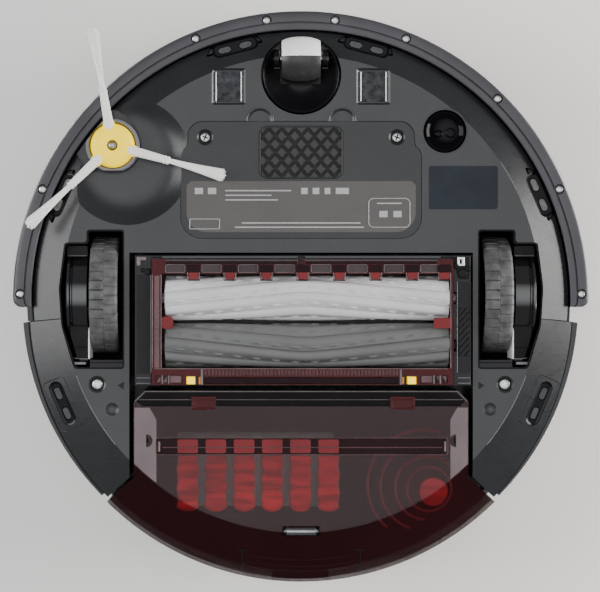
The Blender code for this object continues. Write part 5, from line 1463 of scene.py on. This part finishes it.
def build_frame():
    """The red frame round the rollers: windows and teeth in front, ribbed bar and boxes behind."""
    x0, x1, y0, y1, z0, z1 = FRAME_X0, FRAME_X1, FRAME_Y0, FRAME_Y1, FRAME_Z, FRAME_TOP_Z
    tooth_x = [0.9 + 22.0 * i for i in range(-3, 4)] + [86.4]
    window_x = [0.9 + 22.0 * (i + 0.5) for i in range(-4, 4)]
    body = block(x0, x1, y0, y1, z0, z1)
    joins = [
        prism(filleted(rectangle(-84.6, -76.8, 11.4, 20.2), 2.4), z0, z0 + 2.0),
        block(79.4, 91.0, 12.2, 19.8, z0, z0 + 2.0)
    ]
    joins += [block(x - 3.9, x + 3.9, -15.0, -9.4, z0, z0 + 1.7) for x in tooth_x]
    cuts = [block(-84.2, 89.8, -13.6, 43.2, 0.0, 20.0), block(-1.8, 1.8, -30.0, -15.0, 3.0, z0 + 2.0)]
    cuts += [block(x - 6.2, x + 6.2, -19.4, -14.2, 0.0, z0 + 1.4) for x in window_x]
    for side in (-1, 1):
        cuts.append(side_block(side, TAB_X - 4.9, TAB_X + 2.9, TAB_Y - 2.6, y1 + 5, 0.0, 20.0))
        cuts.append(side_block(side, 71.6, 88.4, 47.4, 52.4, 0.0, z0 + 1.6))
    cuts.append(block(-60.0, 60.0, 48.6, 52.9, 0.0, z0 + 2.2))
    piece("frame_moulding", body, RED_FRAME, "frame", "roller_frame", joins=joins, cuts=cuts, bevel=0.35)
    ledge = [block(x, x + 79.6, -22.3, -21.3, z0 - 0.1, z0 + 0.6) for x in (-82.0, 2.4)]
    piece("frame_front_ledge", merged(ledge), GRAPHITE, "frame", bevel=0.15)
    shade = [block(x, x + 79.6, -21.2, -19.6, z0 - 0.12, z0 + 0.4) for x in (-82.0, 2.4)]
    shade += [block(-58.6, 58.6, 48.9, 52.6, z0 + 1.2, z0 + 2.1)]
    piece("frame_shaded_bars", merged(shade), RED_PAINTED_SHADE, "frame", bevel=0.2)
    panes, rims, posts, tips, feet = [], [], [], [], []
    for x in window_x:
        panes.append(prism(rounded_rectangle(x - 5.8, x + 5.8, -19.1, -14.6, 0.7), z0 + 0.7, z0 + 1.5))
        rims.append(
            tube(lifted(rounded_rectangle(x - 5.9, x + 5.9, -19.2, -14.5, 0.8), z0 + 0.3), 0.22, 6, True)
        )
    for x in tooth_x:
        posts.append(block(x - 4.3, x + 4.3, -19.2, -14.6, z0 - 0.12, z0 + 0.3))
        tips.append(prism(filleted(rectangle(x - 2.9, x + 2.9, -14.5, -10.4), 0.6), z0 - 0.2, z0 + 0.4))
        feet.append(block(x - 3.7, x + 3.7, -10.3, -9.5, z0 - 0.1, z0 + 1.0))
        rims += [
            tube([(x + s * 3.5, -14.4, z0 - 0.02), (x + s * 3.5, -10.0, z0 + 0.1)], 0.3, 6) for s in (-1, 1)
        ]
    tips.append(prism(filleted(rectangle(79.9, 90.6, 12.8, 19.3), 0.8), z0 - 0.2, z0 + 0.6))
    tips.append(prism(filleted(rectangle(-84.2, -77.4, 12.0, 19.6), 2.2), z0 - 0.2, z0 + 0.6))
    piece("frame_windows", merged(panes), PANE, "frame", bevel=0.15)
    # The posts and feet are coloured with the painted shade red.
    piece("frame_posts", merged(posts + feet), RED_PAINTED_SHADE, "frame", bevel=0.15)
    piece("frame_red_tips", merged(tips), RED_SOLID, "frame", bevel=0.15)
    # The pale rims and rails are painted highlights along the frame's edges and dividers.
    rails = []
    for x in (-89.9, -84.6, 90.1):
        rails.append(tube([(x, -13.2, z0 + 0.02), (x, 43.0, z0 + 0.02)], 0.26, 6))
    for side in (-1, 1):
        rails.append(side_block(side, 59.4, 60.6, 44.0, 53.2, z0 - 0.12, z0 + 0.5))
        for x in (80.0, 83.9):
            rails.append(side_block(side, x - 0.4, x + 0.4, 47.6, 52.6, z0 - 0.1, z0 + 1.5))
    rails.append(tube([(-88.4, 43.6, z0 + 0.02), (88.4, 43.6, z0 + 0.02)], 0.25, 6))
    piece("frame_edge_highlights", merged(rims + rails), PALE_EDGE_AND_HIGHLIGHT, "frame")
    band = [block(-88.6, -85.7, -12.6, 43.0, z0 - 0.14, z0 + 0.4)]
    pleats = [block(-58.4 + 2.1 * k, -57.2 + 2.1 * k, 44.2, 47.8, z0 - 0.14, z0 + 0.4) for k in range(56)]
    boxes = []
    for side in (-1, 1):
        boxes.append(side_block(side, 72.4, 79.2, 47.8, 52.0, z0 + 0.4, z0 + 1.5))
        # The small triangles in the end boxes are painted highlights.
        for x in (81.0, 84.9):
            a, b = side * x, side * (x + 2.6)
            corner = [(a, 48.0), (b, 48.0), (b, 51.8)] if side > 0 else [(a, 48.0), (a, 51.8), (b, 51.8)]
            boxes.append(prism(corner, z0 + 0.3, z0 + 1.5))
    piece("frame_pale_faces", merged(band + boxes), PINK_AND_PAINTED_HIGHLIGHT, "frame", bevel=0.15)
    piece("frame_pleats", merged(pleats), PALE_RED, "frame", bevel=0.25)
    for name, side in SIDES:
        x = side * TAB_X
        tab = block(x - 2.5, x + 2.5, TAB_Y - 2.2, TAB_Y + 2.2, z0 - 0.4, 12.4)
        grooves = [
            block(x - 3.5, x + 3.5, TAB_Y + d - 0.25, TAB_Y + d + 0.25, 3.0, z0 - 0.05)
            for d in (-1.1, 0.0, 1.1)
        ]
        piece(
            f"yellow_tab_painted_glow_{name}", tab, YELLOW_TAB_PAINTED_GLOW, f"tab_{name}", f"release_tab_{name}", cuts=grooves,
            bevel=0.25
        )
        # A thin orange strip beside each tab: painted shade on the side wall of the tab's opening.
        shade_strip = side_block(side, 60.8, 61.9, TAB_Y - 2.2, TAB_Y + 2.2, z0 - 0.12, z0 + 0.6)
        piece(f"tab_shade_strip_{name}", shade_strip, ORANGE_PAINTED_SHADE, "frame", bevel=0.15)


# ---------------------------------------------------------------- dust bin


def bin_form(inset):
    x = BIN_X - inset
    corner_y = BAY_FLARE_Y + 0.436 * inset
    rear = (SHELL_REAR[0], SHELL_REAR[1] - inset)
    tail_x = 118.5 - 0.4 * inset
    tail_angle = math.degrees(math.acos(tail_x / rear[1]))
    tail = arc(0, rear[0], rear[1], tail_angle, 180 - tail_angle, 110)
    front_y = BIN_BODY_Y - (10.0 if inset else 0.0)
    outline = [(-x, front_y), (x, front_y), (x, corner_y)] + tail + [(-x, corner_y)]
    form = prism(outline, CHASSIS_Z + inset - 0.01, BIN_TOP_Z - inset)
    slope = [
        circle(0, FLAT_CIRCLE[0], FLAT_CIRCLE[1] - inset, 300), circle(0, rear[0], rear[1] + 1.0, 300),
        circle(0, rear[0], rear[1] + 1.0, 300)
    ]
    heights = (CHASSIS_Z + inset, SLOPE_TOP_Z + 1 + inset, 90.0)
    bowl = loft([lifted(ring, z) for ring, z in zip(slope, heights)])
    return form, bowl


def follow_slope(mesh):
    """Lifts a piece modelled under the flat by as much as the underside rises there."""
    for vertex in mesh.verts:
        x, y, _ = vertex.co / MM
        vertex.co.z += (slope_z(x, y) - CHASSIS_Z) * MM
    return mesh


def build_bin():
    inner_form, inner_bowl = bin_form(BIN_WALL)
    cavity = shaped(inner_form, RED_BIN, limit=inner_bowl)
    form, bowl = bin_form(0.0)
    start = shaped(form, RED_BIN, limit=bowl)
    rear_y = SHELL_REAR[0] + SHELL_REAR[1]
    ry = BIN_ROLLER_Y
    cuts = [
        cavity, prism(rounded_rectangle(-88.0, 88.0, 85.7, 96.0, 1.2), 5.0, CHASSIS_Z + 1.1),
        block(-11.2, 11.2, ry - 3.2, ry + 3.2, 5.0, 17.0),
        block(-18.2, 18.2, rear_y - 8, rear_y + 5, 31.7, 46.3)
    ]
    for side in (-1, 1):
        cuts.append(cylinder(3.6, 5.0, CHASSIS_Z + 1.5, side * 96.0, 87.5, 32))
        cuts.append(side_block(side, 35.6, 36.3, 153.5, 180.0, 5.0, 19.0))
    piece(
        "bin_skin", start, RED_BIN, "dust_bin", "bin_shell",
        joins=[cylinder(2.0, 32.0, 70.5, FAN_X, FAN_Y, 24)], cuts=cuts, bevel=0.35, sharp=12.0
    )
    chamfer = 6.0
    plan = [
        (-BIN_X + chamfer, BIN_FRONT_Y), (BIN_X - chamfer, BIN_FRONT_Y), (BIN_X, BIN_BODY_Y - 0.35),
        (-BIN_X, BIN_BODY_Y - 0.35)
    ]
    mouth = block(-70.0, 70.0, 50.0, 70.0, 27.0, 47.0)
    piece(
        "bin_front_bar", prism(plan, CHASSIS_Z - 0.4, BIN_TOP_Z - 0.4), BLACK, "dust_bin", "bin_door",
        cuts=[mouth], bevel=0.35
    )
    z = CHASSIS_Z
    sill = [(-99.6, 63.5), (-94.0, 58.2), (94.0, 58.2), (99.6, 63.5), (96.0, 66.6), (-96.0, 66.6)]
    piece("bin_sill", prism(sill[::-1], z - 0.62, z + 0.4), SILL, "dust_bin", bevel=0.4)
    # Painted highlight: pale lines along the front edges of the bin bar.
    trims = [
        tube(
            [(-100.6, 63.6, z - 0.5), (-94.6, 57.5, z - 0.5), (94.6, 57.5, z - 0.5), (100.6, 63.6, z - 0.5)],
            0.26, 6
        )
    ]
    trims.append(tube([(-98.0, 62.6, z - 0.66), (98.0, 62.6, z - 0.66)], 0.16, 6))
    piece("bin_bar_highlight_lines", merged(trims), PALE_EDGE_AND_HIGHLIGHT, "dust_bin")
    for i, (a, b) in enumerate(((-66.5, -51.6), (54.0, 69.0))):
        lug = prism(filleted(rectangle(a, b, 60.6, 68.6), 0.9), z - 1.3, z + 0.6)
        recess = prism(filleted(rectangle(a + 1.2, b - 1.2, 62.6, 67.6), 0.6), z - 3, z - 0.8)
        piece(f"bin_latch_lug_{i}", lug, RED_FRAME, "dust_bin", cuts=[recess], bevel=0.25)
    for i, (side, a, b) in enumerate(((-1, -101.2, -87.8), (1, 90.6, 101.2))):
        outer, inner = (a, b) if side < 0 else (b, a)
        slant = 4.2
        rim = [
            (x, FLAT_CIRCLE[0] + math.sqrt((FLAT_CIRCLE[1] - 0.6) ** 2 - x * x))
            for x in (outer, (outer + inner) / 2, inner)
        ]
        band = [(inner, 67.4 + slant + 3), (inner + side * slant, 67.4), (outer, 67.4)] + rim
        notch = prism(
            turned(arc(0, 0, 3.9, -90, 90, 24), 180 if side > 0 else 0, side * 94.0, 87.5), 5.0, 14.0
        )
        flat = prism(band if side > 0 else band[::-1], z - 0.08, z + 0.4)
        piece(f"bin_side_band_{i}", flat, BAND, "dust_bin", cuts=[notch], bevel=0.1)
        # Painted shade: a dark plug filling each notch.
        plug = prism(
            turned(arc(0, 0, 3.6, -90, 90, 24), 180 if side > 0 else 0, side * 94.0, 87.5), z + 0.9, z + 1.9
        )
        piece(f"bin_notch_shade_{i}", plug, BLACK_MATT_AND_PAINTED_SHADE, "dust_bin", bevel=0.1)
    # The groove floor is coloured with the painted shade red.
    bed = prism(rounded_rectangle(-87.4, 88.4, 86.2, 95.6, 1.0), z + 0.55, z + 1.3)
    piece("bin_groove_bed", bed, RED_PAINTED_SHADE, "dust_bin", bevel=0.1)
    bars = [prism(rounded_rectangle(x - 6.2, x + 6.2, 86.7, 95.1, 1.0), z + 0.42, z + 0.8) for x in FOLD_X]
    piece("bin_groove_bars", merged(bars), RED_SOLID, "dust_bin", bevel=0.1)
    # Painted highlights: a pale border, a bright line along the groove and bright ends.
    frame_line = lifted(rounded_rectangle(-88.0, 89.0, 85.8, 96.0, 1.2), z - 0.02)
    ends = [tube([(x + 0.1, 88.0, z + 0.2), (x, 94.0, z + 0.2)], 0.7, 10) for x in (-86.2, 87.2)]
    inner_line = tube([(-84.0, 91.6, z + 0.3), (85.6, 91.6, z + 0.3)], 0.3, 8)
    piece("bin_groove_highlights", merged([tube(frame_line, 0.2, 6, True), inner_line] + ends), PINK_AND_PAINTED_HIGHLIGHT, "dust_bin")
    arcs = []
    for r in (2.0, 6.0, 9.0):
        arcs.append(tube(draped(arc(0, -1.5, 160 + r, 79, 101, 30), 0.35), 0.22, 6))
    piece("bin_tail_lines", merged(arcs), PALE_RED, "dust_bin")
    seams = []
    for side in (-1, 1):
        seams.append(
            tube(
                [(side * 36, y, slope_z(side * 36, y) - 0.05) for y in (154.0, 158.0, 162.0, 166.0)], 0.35, 6
            )
        )
        seams.append(
            tube([(side * 36 + d, 154.4, slope_z(side * 36 + d, 154.4) - 0.05) for d in (-2.6, 2.6)], 0.4, 6)
        )
    piece("bin_clip_seams", merged(seams), BLACK_MATT_AND_PAINTED_SHADE, "dust_bin")
    wave = []
    for i, x in enumerate(FOLD_X):
        rings = []
        for k in range(45):
            y = 96.6 + 0.77 * k
            swell = 1.0 + 0.06 * math.sin(y * 0.55 + i)
            half, rise = 6.6 * swell, 1.6 + 0.08 * math.sin(y * 0.9 + 2 * i)
            taper = min(1.0, 0.8 + k / 8, (45 - k) / 4) ** 0.5
            rings.append(
                [
                    (x + half * taper * math.cos(a), y, z + 2.0 - rise * taper * math.sin(a))
                    for a in [2 * math.pi * m / 20 for m in range(20)]
                ]
            )
        wave.append(loft(rings))
    # The folds glow of themselves: painted light for light coming through them from inside the bin.
    piece("filter_folds", follow_slope(merged(wave)), RED_STRIP_PAINTED_GLOW, "dust_bin", sharp=60.0)
    repaint("bin_filter", WHITE_PAINTED_GLOW)
    build_fan_looks()
    profile = [
        (0.9, -10.4), (0.9, -9.4), (1.9, -9.3), (2.5, -8.9), (2.6, -8.4), (2.6, 8.4), (2.5, 8.9), (1.9, 9.3),
        (0.9, 9.4), (0.9, 10.4)
    ]
    piece(
        "support_roller", turned_x(profile, ry, BIN_ROLLER_Z, 48), SPRING, "bin_support_roller", "bin_roller"
    )
    half = math.degrees(math.asin(17.6 / SHELL_REAR[1]))
    plan = arc(
        0, SHELL_REAR[0], SHELL_REAR[1] - 0.1, 90 - half, 90 + half, 24
    ) + [(-17.6, rear_y - 6.0), (17.6, rear_y - 6.0)]
    dents = [block(-12.0, 12.0, rear_y - 0.75, rear_y + 2, 36.0 + 2.2 * k, 36.8 + 2.2 * k) for k in range(3)]
    piece(
        "bin_release_key", prism(plan, 32.2, 45.8), BUMPER, "bin_button", "bin_release_button", cuts=dents,
        bevel=0.4
    )


def build_fan_looks():
    disc = turned_z([(FAN_R, 24.0), (FAN_R, 26.0), (7.0, 28.0), (7.0, 46.0)], FAN_X, FAN_Y, 96)
    blades = []
    for i in range(11):
        outline = arc(13.5, -9.0, 16.0, 40, 118, 12) + arc(13.5, -9.0, 14.8, 118, 40, 12)
        blades.append(prism(turned(outline, 360 * i / 11, FAN_X, FAN_Y), 25.0, 38.0))
    piece(
        "fan_rotor", disc, RED_SOLID, "fan", "fan_impeller", joins=blades,
        cuts=[cylinder(2.4, 31.0, 50.0, FAN_X, FAN_Y, 24)], bevel=0.2
    )
    eye = [(4.0, 22.9), (8.5, 22.6), (10.2, 23.2), (10.8, 23.9)]
    piece("fan_rotor_eye", turned_z(eye, FAN_X, FAN_Y, 64), RED_LIT, "fan")
    # Painted glow: a disc on the bin that lights itself where the fan eye shows through.
    glow = [(0.4, 12.0), (6.0, 11.9), (8.2, 12.3), (9.0, 13.2)]
    piece("fan_eye_glow", follow_slope(turned_z(glow, GLOW_X, GLOW_Y, 64)), RED_GLOW, "dust_bin")
    # Painted glow: red rings round the fan eye that light themselves.
    rings = []
    for r, start, end in ((13.5, 0, 360), (19.5, 40, 330), (27.0, 100, 300), (33.5, 130, 290)):
        path = lifted(arc(GLOW_X - 0.2 * r, GLOW_Y - 0.12 * r, r, start, end, 70), 12.9)
        path = [q for q in path if q[0] < 98 and math.hypot(q[0], q[1]) < 156]
        rings.append(tube(path, 0.8, 8))
    piece("fan_duct_lines", follow_slope(merged(rings)), RED_RIM_PAINTED_GLOW, "dust_bin")


# ---------------------------------------------------------------- inner pieces, stage, camera


def build_spring(node):
    """A coil spring behind the bumper."""
    low, high = (corner / MM for corner in map(Vector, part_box(node)))
    wire, turns, steps = 0.45, 3.0, 24
    x, z, r = (low.x + high.x) / 2, (low.z + high.z) / 2, (high.x - low.x) / 2 - wire
    first, last = high.y - wire, low.y + wire
    path = []
    for i in range(int(turns * steps) + 1):
        t, a = i / (turns * steps), 2 * math.pi * i / steps
        path.append((x + r * math.cos(a), first + (last - first) * t, z + r * math.sin(a)))
    made = piece(f"{node}_coil", tube(path, wire, 8), SPRING, "body", node, sharp=60.0)
    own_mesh(made)


def repaint_inner():
    repaint("battery_pack", CELLS)
    repaint("main_circuit_board", PCB)
    repaint("side_brush_motor", BLACK)
    for name, _ in SIDES:
        build_spring(f"bumper_spring_{name}")


def one_sided(name, left, right, glow):
    """A pale matt ground, seen from one side only, whose tone changes slowly from left to right: where the
    two tones differ, this is a painted fall-off of light.
    """
    made, tree, shader, where = new_material(name)
    # Painted light: the blend from the left tone to the right tone stands for light falling off across the
    # ground.
    wide = spread(tree, coordinate(tree, where, "X"), 0.0, 1.0, -0.22, 0.2)
    cloud = spread(tree, noise(tree, where, 3.0), 0.0, 1.0)
    low, high = (blend_colours(tree, cloud, tuple(0.985 * c for c in tone), tone) for tone in (left, right))
    tone = blend_colours(tree, wide, low, high)
    colour_and_glow(tree, shader, tone, glow)
    shader.inputs["Roughness"].default_value = 0.9
    shader.inputs["Specular IOR Level"].default_value = 0.1
    back = tree.nodes.new("ShaderNodeNewGeometry").outputs["Backfacing"]
    clear = tree.nodes.new("ShaderNodeBsdfTransparent")
    mix = tree.nodes.new("ShaderNodeMixShader")
    tree.links.new(back, mix.inputs[0])
    tree.links.new(shader.outputs[0], mix.inputs[1])
    tree.links.new(clear.outputs[0], mix.inputs[2])
    tree.links.new(mix.outputs[0], tree.nodes["Material Output"].inputs["Surface"])
    return made


def ground(name, z, up, made):
    mesh = bmesh.new()
    corners = [(-4000, -4000), (4000, -4000), (4000, 4000), (-4000, 4000)]
    loop = [mesh.verts.new(Vector((x, y, z)) * MM) for x, y in (corners if up else corners[::-1])]
    mesh.faces.new(loop)
    obj = plain_object(name, mesh, made)
    obj.visible_shadow = False
    obj.visible_diffuse = False
    obj.visible_glossy = False
    obj.visible_transmission = False
    return obj


def soft_light(name, place, aim, size, power, colour=(1.0, 1.0, 1.0)):
    data = bpy.data.lights.new(name, "AREA")
    data.shape = "RECTANGLE"
    data.size, data.size_y = size
    data.energy = power
    data.color = colour
    obj = bpy.data.objects.new(name, data)
    obj.location = place
    obj.rotation_euler = (Vector(aim) - Vector(place)).to_track_quat("-Z", "Y").to_euler()
    bpy.context.scene.collection.objects.link(obj)


def build_stage():
    ground("table_below", 0.0, True, one_sided("pale_table", (0.78, 0.78, 0.76), (0.78, 0.78, 0.76), 0.0))
    # The backdrop is painted lighter and warmer towards +X, standing for the stronger light on that side.
    ground(
        "table_behind", 112.0, False,
        one_sided("pale_backdrop_painted_falloff", (0.82, 0.825, 0.805), (1.0, 0.955, 0.895), 0.17)
    )
    soft_light("left_box", (-1.3, -0.15, -0.85), (0, 0, 0), (0.9, 1.3), 20)
    soft_light("right_box", (1.5, -0.1, -0.22), (0, 0, 0), (1.0, 1.4), 54, (1.0, 0.985, 0.965))
    soft_light("upper_left", (-1.3, -0.9, 1.4), (0, 0, 0.04), (1.0, 1.0), 20)
    soft_light("upper_right", (1.4, -0.3, 1.3), (0, 0, 0.04), (1.0, 1.0), 18)
    soft_light("upper_back", (0.2, 1.4, 1.2), (0, 0, 0.04), (1.2, 0.8), 14)
    world = bpy.data.worlds.new("studio")
    world.use_nodes = True
    tree = world.node_tree
    where = tree.nodes.new("ShaderNodeTexCoord").outputs["Generated"]
    steep = maths(tree, "ABSOLUTE", coordinate(tree, where, "Z"))
    glow = spread(tree, steep, 0.0, 1.0, 0.865, 0.985)
    tone = blend_colours(tree, glow, (0.09, 0.092, 0.096), (0.96, 0.975, 1.0))
    tree.links.new(tone, tree.nodes["Background"].inputs["Color"])
    tree.nodes["Background"].inputs["Strength"].default_value = 2.05
    bpy.context.scene.world = world


def build_camera():
    """From straight below, bumper at the top of the picture, a little to the left of the middle."""
    data = bpy.data.cameras.new("view_from_below")
    distance, plane, width = 1.25, 0.014, 0.3648
    data.sensor_width = 36.0
    data.lens = 36.0 * (distance + plane) / width
    offset = -0.028
    data.shift_x = (-0.0006 - offset) / width
    data.shift_y = 0.0003 / width
    data.clip_start, data.clip_end = 0.05, 50.0
    obj = bpy.data.objects.new("view_from_below", data)
    obj.location = (offset, 0.0, -distance)
    obj.rotation_euler = (math.pi, 0.0, 0.0)
    bpy.context.scene.collection.objects.link(obj)
    bpy.context.scene.camera = obj


build_chassis()
build_liners()
build_small_body_parts()
build_hatch()
build_bumper()
build_upper()
build_side_brush()
build_caster()
for drive_name, drive_side in SIDES:
    build_drive(drive_name, drive_side)
build_head()
build_bin()
repaint_inner()
build_stage()
build_camera()
